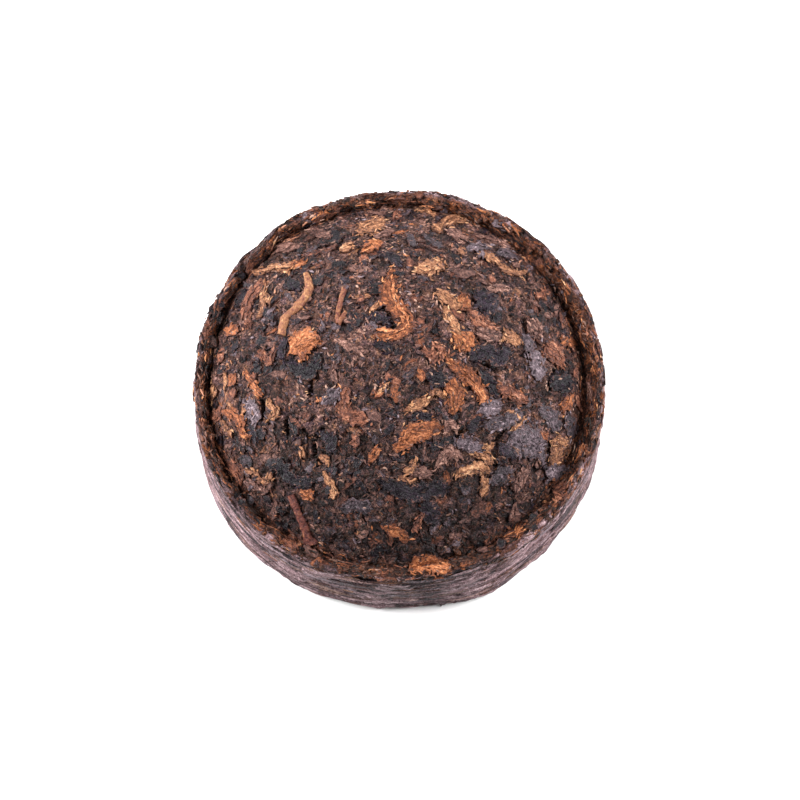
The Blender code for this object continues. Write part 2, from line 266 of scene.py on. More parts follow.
# The larger leaf pieces
# Torn pieces of bigger leaf are pressed into the dome and the lip: golden, orange, rust and pink
# ones that split into fibres, and smooth grey and blue-black ones. Each is a thin ragged strip.
# Every row is a line through the photograph: across, down and the strip's width there.
LEAVES_SEEN = {
    "golden": (
        ((265, 282, 3), (262, 300, 5), (264, 306, 5), (261, 313, 6), (258, 316, 3)),
        ((262, 296, 4), (267, 296, 5), (269, 304, 3)),
        ((263, 271, 4), (274, 267, 8), (287, 267, 9), (296, 262, 6)),
        ((358, 232, 8), (366, 228, 13), (376, 225, 14), (386, 221, 8)),
        ((433, 225, 5), (440, 228, 8), (447, 221, 9), (458, 219, 7), (466, 221, 4)),
        ((340, 249, 5), (347, 247, 9), (354, 245, 5)),
        ((416, 271, 6), (426, 268, 15), (436, 266, 15), (444, 268, 6)),
        ((437, 294, 7), (445, 296, 11), (454, 303, 10), (465, 309, 8)),
        ((444, 306, 5), (449, 316, 8), (455, 328, 9), (459, 336, 6)),
        ((504, 332, 7), (512, 337, 13), (520, 345, 9)),
        ((480, 253, 4), (489, 256, 7), (499, 263, 5)),
        ((498, 263, 4), (506, 270, 6), (516, 273, 6), (526, 273, 4)),
        ((407, 410, 5), (415, 407, 9), (424, 402, 10), (427, 397, 5)),
        ((430, 395, 4), (437, 391, 7), (443, 396, 4)),
        ((212, 384, 4), (214, 391, 6), (211, 401, 4)),
        ((246, 470, 3), (254, 474, 5), (261, 480, 5), (267, 481, 5), (272, 473, 3)),
        ((415, 461, 4), (411, 468, 9), (403, 470, 5)),
        ((398, 477, 4), (407, 481, 8), (416, 481, 6)),
        ((456, 475, 5), (466, 471, 9), (479, 468, 13), (490, 471, 8)),
        ((474, 455, 5), (484, 457, 7), (493, 464, 6)),
        ((484, 477, 8), (486, 487, 7), (481, 495, 4)),
        ((552, 442, 9), (560, 442, 13), (567, 441, 6)),
        ((560, 444, 12), (556, 455, 12), (551, 464, 6)),
        ((507, 411, 3), (514, 413, 5), (518, 420, 4), (517, 426, 3)),
        ((511, 429, 3), (519, 425, 4), (527, 418, 3)),
        ((415, 209, 3), (425, 210, 4), (436, 215, 5)),
        ((302, 447, 3), (302, 453, 5), (304, 458, 3)),
        ((319, 456, 5), (325, 458, 8), (328, 463, 4)),
        ((380, 303, 3), (373, 309, 5), (370, 315, 4)),
        ((324, 472, 4), (328, 481, 6), (334, 489, 7), (331, 499, 6)),
        ((268, 404, 4), (276, 412, 7), (270, 420, 5)),
        ((222, 421, 4), (228, 430, 5), (231, 437, 3)),
    ),
    "orange": (
        ((393, 270, 6), (390, 281, 14), (389, 295, 20), (396, 308, 16), (408, 318, 11), (404, 330, 13),
         (391, 336, 9), (374, 336, 4)),
        ((462, 296, 7), (465, 303, 11), (461, 309, 7)),
        ((455, 334, 7), (463, 342, 20), (461, 350, 14)),
        ((446, 358, 4), (456, 366, 12), (466, 374, 15), (476, 386, 14), (484, 398, 12), (480, 402, 6)),
        ((449, 380, 8), (455, 391, 16), (456, 404, 15), (452, 414, 6)),
        ((393, 450, 8), (404, 443, 15), (414, 433, 20), (428, 431, 18), (441, 427, 9)),
        ((290, 352, 10), (299, 344, 20), (308, 339, 21), (318, 343, 10)),
        ((304, 346, 10), (302, 354, 9), (304, 359, 4)),
        ((362, 251, 5), (371, 246, 9), (382, 241, 6)),
        ((225, 330, 6), (232, 331, 11), (238, 326, 6)),
        ((561, 345, 5), (569, 342, 10), (575, 346, 7)),
        ((562, 412, 5), (567, 404, 9), (574, 395, 8)),
        ((223, 409, 6), (232, 413, 10), (239, 420, 9), (243, 434, 7), (250, 436, 4)),
        ((300, 492, 5), (307, 495, 10), (312, 500, 4)),
        ((521, 524, 6), (519, 530, 8), (516, 536, 4)),
        ((411, 570, 8), (419, 565, 15), (430, 563, 19), (441, 566, 16), (450, 570, 8)),
        ((386, 527, 6), (395, 531, 12), (402, 536, 9), (408, 539, 4)),
        ((370, 462, 4), (374, 454, 9), (378, 447, 5)),
        ((288, 267, 3), (296, 265, 6), (305, 261, 5)),
        ((244, 370, 4), (250, 379, 7), (257, 390, 9), (262, 396, 6)),
    ),
    "rust": (
        ((266, 281, 7), (256, 289, 11), (248, 301, 10), (246, 316, 9), (249, 328, 8)),
        ((470, 311, 6), (477, 319, 11), (489, 327, 8), (498, 329, 4)),
        ((424, 349, 6), (431, 354, 9), (435, 364, 6)),
        ((436, 346, 4), (443, 350, 8), (441, 360, 6)),
        ((348, 388, 5), (344, 398, 9), (345, 409, 12), (351, 417, 15), (361, 418, 15), (368, 419, 9)),
        ((352, 434, 6), (356, 441, 9), (352, 446, 5)),
        ((546, 345, 12), (551, 350, 18), (557, 358, 15), (562, 366, 6)),
        ((225, 465, 7), (233, 468, 13), (239, 473, 10), (240, 481, 5)),
        ((553, 486, 6), (559, 489, 11), (565, 487, 6)),
        ((554, 493, 5), (559, 495, 9), (562, 498, 4)),
        ((578, 394, 6), (582, 404, 10), (585, 415, 5)),
        ((206, 320, 5), (208, 330, 8), (207, 341, 5)),
        ((537, 294, 3), (541, 295, 7), (546, 290, 5)),
        ((207, 411, 6), (214, 418, 11), (221, 408, 7)),
        ((497, 388, 6), (506, 390, 12), (518, 397, 10), (528, 403, 5)),
        ((421, 515, 4), (418, 523, 7), (415, 532, 6)),
        ((394, 218, 4), (399, 213, 6)),
        ((262, 350, 5), (264, 358, 9), (270, 361, 6), (275, 350, 4), (278, 345, 3)),
        ((284, 538, 6), (290, 542, 9), (296, 549, 6)),
    ),
    "pink": (
        ((374, 238, 5), (384, 233, 8), (394, 231, 5)),
        ((448, 229, 6), (457, 236, 9), (468, 240, 7)),
        ((478, 235, 4), (492, 240, 8), (511, 247, 5)),
        ((487, 288, 5), (499, 289, 8), (512, 291, 5)),
        ((476, 331, 8), (488, 334, 13), (501, 337, 10)),
        ((533, 321, 12), (536, 329, 15), (538, 338, 8)),
        ((335, 339, 5), (347, 345, 8), (359, 350, 7), (369, 352, 4)),
        ((333, 363, 5), (333, 373, 6), (336, 384, 3)),
        ((436, 468, 5), (442, 459, 9), (450, 451, 11), (460, 459, 8)),
        ((414, 475, 6), (422, 473, 11), (431, 475, 5)),
        ((309, 230, 5), (319, 233, 8), (331, 237, 5)),
        ((248, 478, 3), (256, 486, 4), (266, 491, 4), (271, 482, 3)),
        ((516, 492, 5), (521, 479, 10), (527, 468, 7)),
        ((444, 432, 4), (450, 424, 8), (457, 428, 7)),
        ((264, 345, 2), (270, 344, 4), (277, 346, 3)),
        ((275, 250, 5), (286, 247, 9), (300, 246, 6)),
    ),
    "blue-black": (
        ((476, 293, 8), (484, 299, 18), (490, 306, 18), (489, 316, 7)),
        ((288, 361, 8), (296, 368, 13), (307, 373, 17), (315, 364, 13), (318, 353, 6)),
        ((287, 339, 7), (281, 348, 9), (282, 358, 5)),
        ((379, 479, 6), (391, 486, 15), (410, 493, 20), (430, 490, 18), (448, 486, 11)),
        ((423, 503, 12), (430, 512, 20), (432, 524, 10)),
        ((551, 380, 10), (561, 384, 20), (573, 383, 15)),
        ((427, 372, 8), (437, 378, 17), (447, 383, 8)),
        ((375, 345, 8), (386, 346, 12), (392, 350, 6)),
        ((371, 315, 8), (381, 318, 12), (388, 323, 8)),
        ((327, 239, 8), (336, 236, 12), (342, 234, 6)),
        ((384, 256, 6), (393, 258, 11), (401, 265, 6)),
        ((283, 285, 8), (293, 284, 14), (300, 288, 6)),
        ((238, 304, 6), (243, 296, 9), (248, 288, 7)),
        ((250, 424, 6), (253, 433, 8), (255, 444, 4)),
        ((267, 462, 8), (280, 466, 14), (292, 480, 13), (313, 481, 9)),
        ((499, 446, 7), (508, 452, 13), (515, 459, 6)),
        ((470, 357, 10), (484, 352, 17), (499, 358, 16), (510, 349, 8)),
        ((481, 370, 6), (491, 384, 11), (497, 396, 7)),
        ((470, 433, 7), (474, 425, 9), (479, 416, 5)),
        ((256, 361, 4), (257, 367, 7), (255, 373, 4)),
        ((371, 556, 6), (376, 551, 9), (382, 548, 5)),
        ((320, 434, 4), (329, 440, 12), (331, 452, 7)),
        ((410, 419, 6), (421, 416, 10), (431, 419, 6)),
        ((430, 447, 6), (441, 445, 10), (452, 438, 6)),
    ),
    "grey": (
        ((508, 442, 18), (520, 443, 32), (534, 446, 34), (546, 446, 20)),
        ((466, 248, 7), (478, 247, 9), (491, 247, 6)),
        ((497, 252, 7), (507, 253, 9), (515, 257, 5)),
        ((325, 402, 7), (332, 396, 14), (338, 389, 6)),
        ((480, 411, 9), (490, 408, 17), (502, 404, 10)),
        ((484, 425, 7), (496, 424, 13), (510, 420, 14), (523, 414, 6)),
        ((491, 483, 7), (501, 475, 14), (513, 468, 8)),
        ((544, 469, 8), (555, 472, 13), (567, 468, 7)),
        ((533, 351, 8), (538, 364, 14), (539, 380, 10)),
        ((524, 335, 6), (529, 343, 11), (528, 352, 5)),
        ((239, 460, 8), (246, 460, 9), (252, 464, 5)),
        ((540, 408, 8), (553, 418, 15), (556, 432, 10)),
        ((566, 415, 7), (571, 425, 12), (571, 438, 6)),
        ((455, 440, 6), (467, 446, 14), (482, 447, 10)),
        ((246, 398, 8), (254, 414, 14), (252, 424, 8)),
        ((340, 509, 8), (356, 505, 15), (370, 512, 8)),
    ),
}
PHOTO_PIXEL = SEEN_ACROSS / PHOTO_SIDE
# The next seven are in photograph pixels
LEAF_STEP, LEAF_CELL = 1.7, 2.0  # how finely a piece is cut along and across
FIBRE_WIDTH, FIBRE_SPACING = (2.0, 3.8), 3.5
TEARS = ((4.3, 1.0), (1.7, 0.6))  # the length of the tears along an edge, and their share of its raggedness
END_ROUND, END_REACH, END_STRAY = 0.8, 6, 5  # how the torn ends are rounded off, and how far they stray
LEAF_PROUD, FIBRE_PROUD = 0.03 * MM, (0.05 * MM, 0.1 * MM)
LEAF_THICKNESS = 0.2 * MM  # most of it below the surface
LEAF_FIBRE, LEAF_WAVE = 0.03 * MM, 0.06 * MM  # how high the fibres and the waves in a leaf stand
FIBRES_ALONG, FIBRES_ACROSS, LEAF_WAVES = 1.1, 8, 1.7  # about how many there are in a millimetre
FIBRE_SPREAD, FIBRE_SHARE = 0.8, (0.3, 0.75)  # where fibres lie in the leaf's width, and how long they are
FIBRE_SWERVE, FIBRE_WANDER = 0.07, 0.4
SHARP_FROM = math.radians(50)
leaf_rng = np.random.default_rng(8)


def place_seen(across, down):
    """The place on the cake that a place in the photograph shows, and its outward direction."""
    way = way_through(across, down)
    place, outwards, face, distance = core_tree.ray_cast(camera.location, way)
    if place is None:  # just past the edge
        place, outwards, face, distance = core_tree.find_nearest(camera.location + way * CAMERA_AWAY)
    return place, outwards


def points_along(path, step):
    """Places spread evenly along a line through the photograph, its corners rounded off."""
    corners = [Vector(place) for place in path]
    guides = [corners[0] * 2 - corners[1], *corners, corners[-1] * 2 - corners[-2]]
    for before, first, last, after in zip(guides, guides[1:], guides[2:], guides[3:]):
        count = max(1, round((last - first).length / step))
        for number in range(count):
            t = number / count
            yield 0.5 * (
                2 * first
                + (last - before) * t
                + (2 * before - 5 * first + 4 * last - after) * t**2
                + (3 * first - before - 3 * last + after) * t**3
            )
    yield corners[-1]


def way_along(line, number):
    """The direction of a line at one of its places, and the direction square to it."""
    way = (line[min(number + 1, len(line) - 1)] - line[max(number - 1, 0)]).xy.normalized()
    return way, Vector((way.y, -way.x))


def new_strips():
    """A mesh to lay strips in, which keeps their fibres' direction, their tints and their edges."""
    bm = bmesh.new()
    bm.loops.layers.uv.new("along")
    for name in ("tint", "edge"):
        bm.verts.layers.float.new(name)
    return bm


def note_fibres(bm, along):
    """Notes how far along and across its strip each point lies, in millimetres."""
    uv = bm.loops.layers.uv["along"]
    for vertex, lengths in along.items():
        for loop in vertex.link_loops:
            loop[uv].uv = lengths


def flat_strip(bm, along, across):
    """A closed flat strip from -1 to 1 each way, its upper side at 0 and its lower at -1."""
    before = len(bm.verts)
    made = bmesh.ops.create_grid(bm, x_segments=along, y_segments=across, size=1)["verts"]
    faces = each_once(face for vertex in made for face in vertex.link_faces)
    bmesh.ops.solidify(bm, geom=faces, thickness=1)
    bm.verts.ensure_lookup_table()
    return bm.verts[before:]


def lay_leaf(bm, path, proud, ragged):
    """Lays one torn strip of leaf on the dome and notes its fibre direction and its own tint.

    Gives back the places on it, each with its outward and lengthwise directions.
    """
    tint, edge = (bm.verts.layers.float[name] for name in ("tint", "edge"))
    line = list(points_along(path, LEAF_STEP))
    last = len(line) - 1
    rows = max(2, round(max(spot.z for spot in line) / LEAF_CELL))
    own_tint = leaf_rng.uniform()
    spots, along = [], {}
    for vertex in flat_strip(bm, last, rows):
        number, side, sunk = round(0.5 * (vertex.co.x + 1) * last), vertex.co.y, vertex.co.z
        spot, half = line[number], 0.5 * line[number].z
        way, beside = way_along(line, number)
        to_end = min(number, last - number) * LEAF_STEP
        blunt = min(1.0, (to_end + END_ROUND) / (0.55 * half + END_ROUND)) ** 0.5
        rim = 40 * math.copysign(1, side) + 9 * own_tint
        torn = 1.0
        for size, depth in TEARS:
            torn += depth * ragged * noise.noise(Vector((*spot.xy / size, rim)))
        strays = END_STRAY * noise.noise(Vector((spot.x, 7.7 * side, spot.y)))
        ahead = strays * max(0.0, 1 - to_end / END_REACH)
        place, outwards = place_seen(*(spot.xy + beside * side * half * blunt * torn + way * ahead))
        lengthwise = number * LEAF_STEP * PHOTO_PIXEL / MM
        crosswise = side * half * PHOTO_PIXEL / MM
        fibre = noise.noise(Vector((lengthwise * FIBRES_ALONG, crosswise * FIBRES_ACROSS, own_tint * 50)))
        wave = noise.noise(Vector((lengthwise * LEAF_WAVES, crosswise * LEAF_WAVES, own_tint * 90)))
        height = proud + LEAF_FIBRE * fibre + LEAF_WAVE * wave + LEAF_THICKNESS * sunk
        vertex.co = place + outwards * height
        vertex[tint] = own_tint
        vertex[edge] = max(abs(side), 1 - to_end / (half + 1))
        along[vertex] = (lengthwise + 31 * own_tint, crosswise + 17 * own_tint)
        if sunk > -0.5:
            spots.append((vertex.co.copy(), outwards, camera_turn @ Vector((way.x, -way.y, 0))))
    note_fibres(bm, along)
    return spots


def split_into_fibres(path):
    """Narrow lines side by side along a piece's line, each starting and ending where it likes."""
    line = list(points_along(path, 2 * LEAF_STEP))
    widest = max(spot.z for spot in line)
    for _ in range(max(1, round(widest / FIBRE_SPACING))):
        side = leaf_rng.uniform(-FIBRE_SPREAD, FIBRE_SPREAD)
        length = max(3, int(len(line) * leaf_rng.uniform(*FIBRE_SHARE)))
        first = int(leaf_rng.integers(0, max(1, len(line) - length + 1)))
        swerve = leaf_rng.normal(0, FIBRE_SWERVE)
        fibre = []
        for number in range(first, min(len(line), first + length)):
            spot, beside = line[number], way_along(line, number)[1]
            wander = swerve * (number - first) * 2 * LEAF_STEP + leaf_rng.normal(0, FIBRE_WANDER)
            place = spot.xy + beside * (0.5 * spot.z * side + wander)
            fibre.append((*place, leaf_rng.uniform(*FIBRE_WIDTH)))
        if len(fibre) > 1:
            yield fibre


def colour(red, green, blue):
    """A colour given in the 0 to 255 steps of a screen."""
    return (*(((part / 255 + 0.055) / 1.055) ** 2.4 for part in (red, green, blue)), 1.0)


def new_finish(name):
    """A new material, its node tree and its shader."""
    finish = bpy.data.materials.new(name)
    finish.use_nodes = True
    return finish, finish.node_tree, finish.node_tree.nodes["Principled BSDF"]


def set_input(tree, socket, value):
    """Wires an input to another node's output, or sets its value."""
    if isinstance(value, bpy.types.NodeSocket):
        tree.links.new(value, socket)
    else:
        socket.default_value = value


def add_node(tree, kind, inputs=None, **settings):
    """A shader node with its settings, and its inputs wired or set by name."""
    made = tree.nodes.new(kind)
    for name, value in settings.items():
        setattr(made, name, value)
    for name, value in (inputs or {}).items():
        set_input(tree, made.inputs[name], value)
    return made


def noise_value(tree, place, scale, detail=3.0, roughness=0.65):
    """Blotches about 1 / scale in size, stretched to run from 0 to 1."""
    inputs = {"Vector": place, "Scale": scale, "Detail": detail, "Roughness": roughness}
    fac = add_node(tree, "ShaderNodeTexNoise", inputs).outputs["Fac"]
    return between(tree, fac, 0.3, 0.7)


def between(tree, value, low, high, low_to=0.0, high_to=1.0):
    """Stretches a value so that low and high become the new ends."""
    inputs = {"Value": value, "From Min": low, "From Max": high, "To Min": low_to, "To Max": high_to}
    return add_node(tree, "ShaderNodeMapRange", inputs).outputs["Result"]


def total(tree, *shares):
    """The sum of some values, each multiplied by its own share."""
    result = 0.0
    for value, share in shares:
        made = tree.nodes.new("ShaderNodeMath")
        made.operation = "MULTIPLY_ADD"
        for socket, part in zip(made.inputs, (value, share, result)):
            set_input(tree, socket, part)
        result = made.outputs[0]
    return result


def ramp(tree, value, tones):
    """A colour that changes along a value, evenly through the given tones."""
    made = add_node(tree, "ShaderNodeValToRGB", {"Fac": value})
    band = made.color_ramp
    while len(band.elements) < len(tones):
        band.elements.new(0.5)
    for number, (element, tone) in enumerate(zip(band.elements, tones)):
        element.position = number / (len(tones) - 1)
        element.color = colour(*tone)
    return made.outputs["Color"]


def roughen(tree, shader, height, depth):
    """Fine relief that only the light shows."""
    bump = add_node(tree, "ShaderNodeBump", {"Height": height, "Distance": depth})
    tree.links.new(bump.outputs["Normal"], shader.inputs["Normal"])


def curled_fibres(tree, place, size):
    """Fine curled lines, 1 on a line and 0 away from it."""
    inputs = {"Vector": place, "Scale": 1 / size, "Detail": 2.0, "Roughness": 0.6, "Distortion": 0.8}
    fac = add_node(tree, "ShaderNodeTexNoise", inputs).outputs["Fac"]
    rise = between(tree, fac, 0.4, 0.5)
    fall = between(tree, fac, 0.5, 0.6, 1.0, 0.0)
    return add_node(tree, "ShaderNodeMath", {0: rise, 1: fall}, operation="MULTIPLY").outputs[0]


def blend(tree, share, first, second, mode="MIX"):
    """Two colours mixed, with the given share of the second."""
    made = tree.nodes.new("ShaderNodeMix")
    made.data_type = "RGBA"
    made.blend_type = mode
    for number, value in ((0, share), (6, first), (7, second)):
        set_input(tree, made.inputs[number], value)
    return made.outputs[2]


UNDER_TONES = ((16, 8, 8), (52, 30, 28), (100, 66, 58))  # what shows where a piece is rubbed away
WORN_BIT_SIZE = BLOTCH_SIZE = 0.22 * MM
CURL_SIZE = 0.3 * MM
LEAF_SHINE, LEAF_ROUGH = 0.2, 0.07 * MM


def leaf_finish(name, tones, gloss, grain_along=(2.2, 7.0), own_share=0.25, torn=False):
    """Dry leaf: streaks along its fibres, curled hairs and blotches, each piece lighter or darker.

    A torn leaf is rubbed away towards its edges, where the dark mass shows through.
    """
    finish, tree, shader = new_finish(name)
    uv = add_node(tree, "ShaderNodeUVMap", uv_map="along").outputs["UV"]
    stretch = {"Vector": uv, "Scale": (*grain_along, 1.0)}
    stretched = add_node(tree, "ShaderNodeMapping", stretch).outputs["Vector"]
    place = add_node(tree, "ShaderNodeTexCoord").outputs["Object"]
    fibres = noise_value(tree, stretched, 1.0)
    curls = curled_fibres(tree, place, CURL_SIZE)
    tint = add_node(tree, "ShaderNodeAttribute", attribute_name="tint").outputs["Fac"]
    blotches = noise_value(tree, place, 1 / BLOTCH_SIZE)
    rest = 1 - own_share
    shares = ((fibres, 0.3 * rest), (curls, 0.15 * rest), (blotches, 0.55 * rest), (tint, own_share))
    mix = total(tree, *shares)
    tone = ramp(tree, between(tree, mix, 0.2, 0.82), tones)
    if torn:
        edge = add_node(tree, "ShaderNodeAttribute", attribute_name="edge").outputs["Fac"]
        bits = noise_value(tree, place, 1 / WORN_BIT_SIZE)
        worn = between(tree, total(tree, (edge, 0.5), (bits, 0.65)), 0.74, 0.88)
        under = ramp(tree, total(tree, (curls, 0.5), (blotches, 0.5)), UNDER_TONES)
        tone = blend(tree, worn, tone, under)
    tree.links.new(tone, shader.inputs["Base Color"])
    shader.inputs["Specular IOR Level"].default_value = LEAF_SHINE
    tree.links.new(between(tree, fibres, 0.0, 1.0, 1 - gloss, 0.85 - gloss), shader.inputs["Roughness"])
    roughen(tree, shader, total(tree, (fibres, 0.4), (curls, 0.4), (blotches, 0.5)), LEAF_ROUGH)
    return finish


def piece(name, mesh, finish, slot):
    """A finished piece of the cake, which rides on it."""
    mesh.materials.clear()
    mesh.materials.append(finish)
    made = add_object(name, mesh)
    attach(made, "root")
    return made


def finished_strips(bm, name, finish, slot):
    """A finished piece of the strips that were laid in a mesh."""
    bmesh.ops.recalc_face_normals(bm, faces=bm.faces)
    mesh = bpy.data.meshes.new(name)
    bm.to_mesh(mesh)
    mesh.shade_smooth()
    mesh.set_sharp_from_angle(angle=SHARP_FROM)
    return piece(name, mesh, finish, slot)


# Each kind's tones from its darkest to its lightest streaks, its gloss, its slot, and how torn its
# edges are
LEAF_KINDS = {
    "golden": (((44, 26, 18), (108, 68, 48), (162, 113, 81), (214, 169, 128)), 0.35, "golden_leaf", 0.7),
    "orange": (((42, 20, 12), (102, 54, 32), (156, 93, 57), (212, 152, 107)), 0.35, "golden_leaf", 0.7),
    "rust": (((28, 13, 10), (78, 43, 33), (126, 76, 56), (184, 130, 103)), 0.35, "rust_leaf", 0.7),
    "pink": (((26, 14, 12), (74, 48, 43), (121, 86, 76), (184, 143, 126)), 0.4, "rust_leaf", 0.7),
    "blue-black": (((6, 2, 5), (13, 7, 13), (26, 14, 25), (52, 37, 51)), 0.5, "dark_leaf", 0.6),
    "grey": (((17, 12, 15), (51, 41, 46), (91, 76, 82), (157, 138, 144)), 0.5, "dark_leaf", 0.65),
}
FIBROUS_KINDS = ("golden", "orange", "rust", "pink")
leaf_finishes = {}
leaf_spots = {}
for kind, (tones, gloss, slot, ragged) in LEAF_KINDS.items():
    leaf_finishes[kind] = leaf_finish(kind + "_leaf", tones, gloss, torn=True)
    leaf_spots[kind] = []
    strips = new_strips()
    for path in LEAVES_SEEN[kind]:
        leaf_spots[kind] += lay_leaf(strips, path, LEAF_PROUD, ragged)
        for fibre in split_into_fibres(path) if kind in FIBROUS_KINDS else ():
            lay_leaf(strips, fibre, leaf_rng.uniform(*FIBRE_PROUD), ragged)
    finished_strips(strips, kind + "_leaf_pieces", leaf_finishes[kind], slot)


# The stalks
# Three stalks lie in the dome: a flattened pale one, a thin rust one that forks, and a pinkish one
# broken off at its broad end. Each is a closed tube, pressed half into the leaf.
STALKS_SEEN = (
    ((306, 274, 6), (309, 286, 8), (305, 298, 8), (294, 310, 7), (285, 320, 8), (281, 335, 8)),
    ((344, 289, 5), (341, 300, 5), (338, 313, 5), (338, 324, 4)),
    ((346, 312, 4), (342, 318, 4), (338, 324, 4)),
    ((291, 495, 7), (296, 508, 7), (302, 522, 7), (307, 534, 9), (310, 545, 14)),
)
STALK_TINTS = (0.62, 0.45, 0.45, 0.2)
STALK_TONES = ((42, 20, 19), (96, 51, 44), (140, 95, 65), (192, 150, 106))
STALK_STEP = 1.6  # in photograph pixels
STALK_SIDES = 12
STALK_PROUD, STALK_SUNK = 0.2 * MM, 0.3 * MM
STALK_UNEVEN = 0.35
STREAK_WIDTH = 0.3  # as a share of the stalk's width


def lay_stalk(bm, path, own_tint):
    """Lays a closed tube along a line through the photograph and notes its length and tint."""
    tint = bm.verts.layers.float["tint"]
    line = list(points_along(path, STALK_STEP))
    rings, along = [], {}
    for number, spot in enumerate(line):
        beside = way_along(line, number)[1]
        made = bmesh.ops.create_circle(bm, segments=STALK_SIDES, radius=1)["verts"]
        for vertex in made:
            across, up = vertex.co.x, vertex.co.y
            knot = noise.noise(Vector((number * 0.25, across * 1.3, own_tint * 60)))
            uneven = 1 + STALK_UNEVEN * knot
            place, outwards = place_seen(*(spot.xy + beside * across * 0.5 * spot.z * uneven))
            height = STALK_PROUD * up * uneven if up > 0 else STALK_SUNK * up
            vertex.co = place + outwards * height
            vertex[tint] = own_tint
            lengthwise = number * STALK_STEP * PHOTO_PIXEL / MM
            along[vertex] = (lengthwise, across * STREAK_WIDTH * spot.z * PHOTO_PIXEL / MM)
        rings.append(each_once(edge for vertex in made for edge in vertex.link_edges))
    for ring, following in zip(rings, rings[1:]):
        bmesh.ops.bridge_loops(bm, edges=ring + following)
    for ring in (rings[0], rings[-1]):
        bmesh.ops.contextual_create(bm, geom=ring)
    note_fibres(bm, along)
    return [vertex.co.copy() for vertex in along]


strips = new_strips()
stalk_places = []
for path, own_tint in zip(STALKS_SEEN, STALK_TINTS):
    stalk_places += lay_stalk(strips, path, own_tint)
finished_strips(strips, "stalks", leaf_finish("stalk", STALK_TONES, 0.35, own_share=0.45), "stalk")


# The pressed mass
# The cake is one hard lump of broken ripe leaf, soft when it went into the die. Flakes lie at
# uneven levels with cracks between them, and round the side the layers show edge-on.
FLAKE_STEP, FLAKE_SIZE, FLAKE_VARIETY = 0.17 * MM, 1.3 * MM, 5.7
BIT_STEP, BIT_SIZE, BIT_VARIETY = 0.09 * MM, 0.5 * MM, 9.3
TORN_BENDS = ((0.9 * MM, 0.3 * MM), (0.3 * MM, 0.13 * MM))  # how long a flake's bends are, and how far out
CRACK_DEPTH, CRACK_WIDTH = 0.12 * MM, 0.22  # the width is a share of the flake's size
FIBRE_DEPTH, FIBRE_SIZE, FIBRE_SEED = 0.05 * MM, 0.24 * MM, 13.0
FLAKE_TONE, BIT_TONE = 0.2, 0.3  # how much lighter or darker one flake or bit is than the next
LEDGE_DEPTH, LEDGE_LENGTH, LEDGE_PITCH = 0.18 * MM, 3.2 * MM, 0.8 * MM
LAYER_DEPTH, LAYER_LENGTH, LAYER_PITCH = 0.2 * MM, 3.2 * MM, 0.5 * MM
CREASE_DEPTH, CREASE_WIDTH, CREASE_PITCH = 0.2 * MM, 0.09, 1.6 * LAYER_PITCH
SIDE_UNEVEN, SIDE_WAVE, SIDE_GRAIN = 0.2 * MM, 2.6 * MM, 0.5 * MM
CRUMB_DEPTH, CRUMB_SIZE, CRUMB_VARIETY = 0.22 * MM, 0.62 * MM, 8.1
CRUMB_GRAIN, CRUMB_GRAIN_SIZE, CRUMB_GAP = 0.16 * MM, 0.26 * MM, 0.14 * MM
# Open cracks in the dome, each a line of places in the photograph
CRACKS_SEEN = (
    ((301, 429), (307, 436), (313, 441), (314, 457)),
    ((322, 430), (313, 441)),
    ((316, 362), (313, 371), (310, 380), (309, 394)),
    ((303, 360), (304, 372)),
    ((262, 402), (261, 418)),
    ((292, 414), (286, 422), (286, 434)),
    ((524, 318), (527, 332), (535, 344), (523, 356)),
    ((476, 357), (486, 364), (497, 371)),
    ((508, 424), (500, 436), (494, 446)),
    ((481, 462), (494, 463), (503, 470)),
    ((436, 448), (452, 441), (462, 432)),
    ((555, 371), (551, 388)),
    ((384, 312), (389, 322), (396, 330)),
)
SPECK_SIZE, CURL_SIZES = 0.16 * MM, (0.34 * MM, 0.19 * MM)
PATCH_SIZE, STREAK_PITCH = 0.5 * MM, 0.7 * LAYER_PITCH
MASS_ROUGH = 0.09 * MM
CRACK_REACH, CRACK_CUT = 0.2 * MM, 0.6 * MM
# painted shade: the leaf's colour is darkened towards the front of the dome, the side facing away from the
# lamps
PAINTED_FRONT_SHADE = 0.2  # how much darker the leaf is at the front, as in the photograph
FRONT_SHADE_FROM, FRONT_SHADE_TO = 3.0 * MM, 8.5 * MM
LEAF_ROOM = 0.22 * MM
LEAF_BED = -0.04 * MM  # the mass stays this low right under a laid leaf or stalk
# painted shade in the cracks and hollows
CRACK_SHADE_FROM, CRACK_SHADE_OVER = 0.05 * MM, 0.3 * MM  # where cracks start to look darker, and over what depth
MASS_TONES = {
    "mauve": ((11, 6, 9), (42, 26, 31), (92, 64, 67), (172, 136, 130)),
    "brown": ((18, 9, 4), (50, 28, 17), (96, 60, 42), (172, 123, 92)),
    "lip": ((10, 5, 3), (46, 21, 12), (98, 52, 29), (166, 98, 58)),
    # the side's light mauve-grey tones are partly its own colour and partly painted sheen, the grazing
    # reflection of the white floor
    "side": ((26, 19, 21), (81, 60, 63), (134, 107, 111), (184, 157, 161)),
}


def nearness(places):
    """Finds the nearest of some places quickly."""
    found = KDTree(len(places))
    for number, place in enumerate(places):
        found.insert(place, number)
    found.balance()
    return found


cracks = nearness([place_seen(*spot)[0] for path in CRACKS_SEEN for spot in points_along(path, 2)])
leaves = nearness(stalk_places + [spot[0] for spots in leaf_spots.values() for spot in spots])


def fade(position, low, high):
    """0 up to low, 1 from high on, and smooth between them."""
    share = min(1.0, max(0.0, (position - low) / (high - low)))
    return share * share * (3 - 2 * share)


def side_share(point):
    """1 on the upright side and 0 elsewhere, with a soft change between them."""
    reach = math.hypot(point.x, point.y)
    return fade(reach, CAKE_RADIUS - 0.5 * MM, CAKE_RADIUS - 0.15 * MM) * fade(point.z, 0.0, FOOT_ROUND)


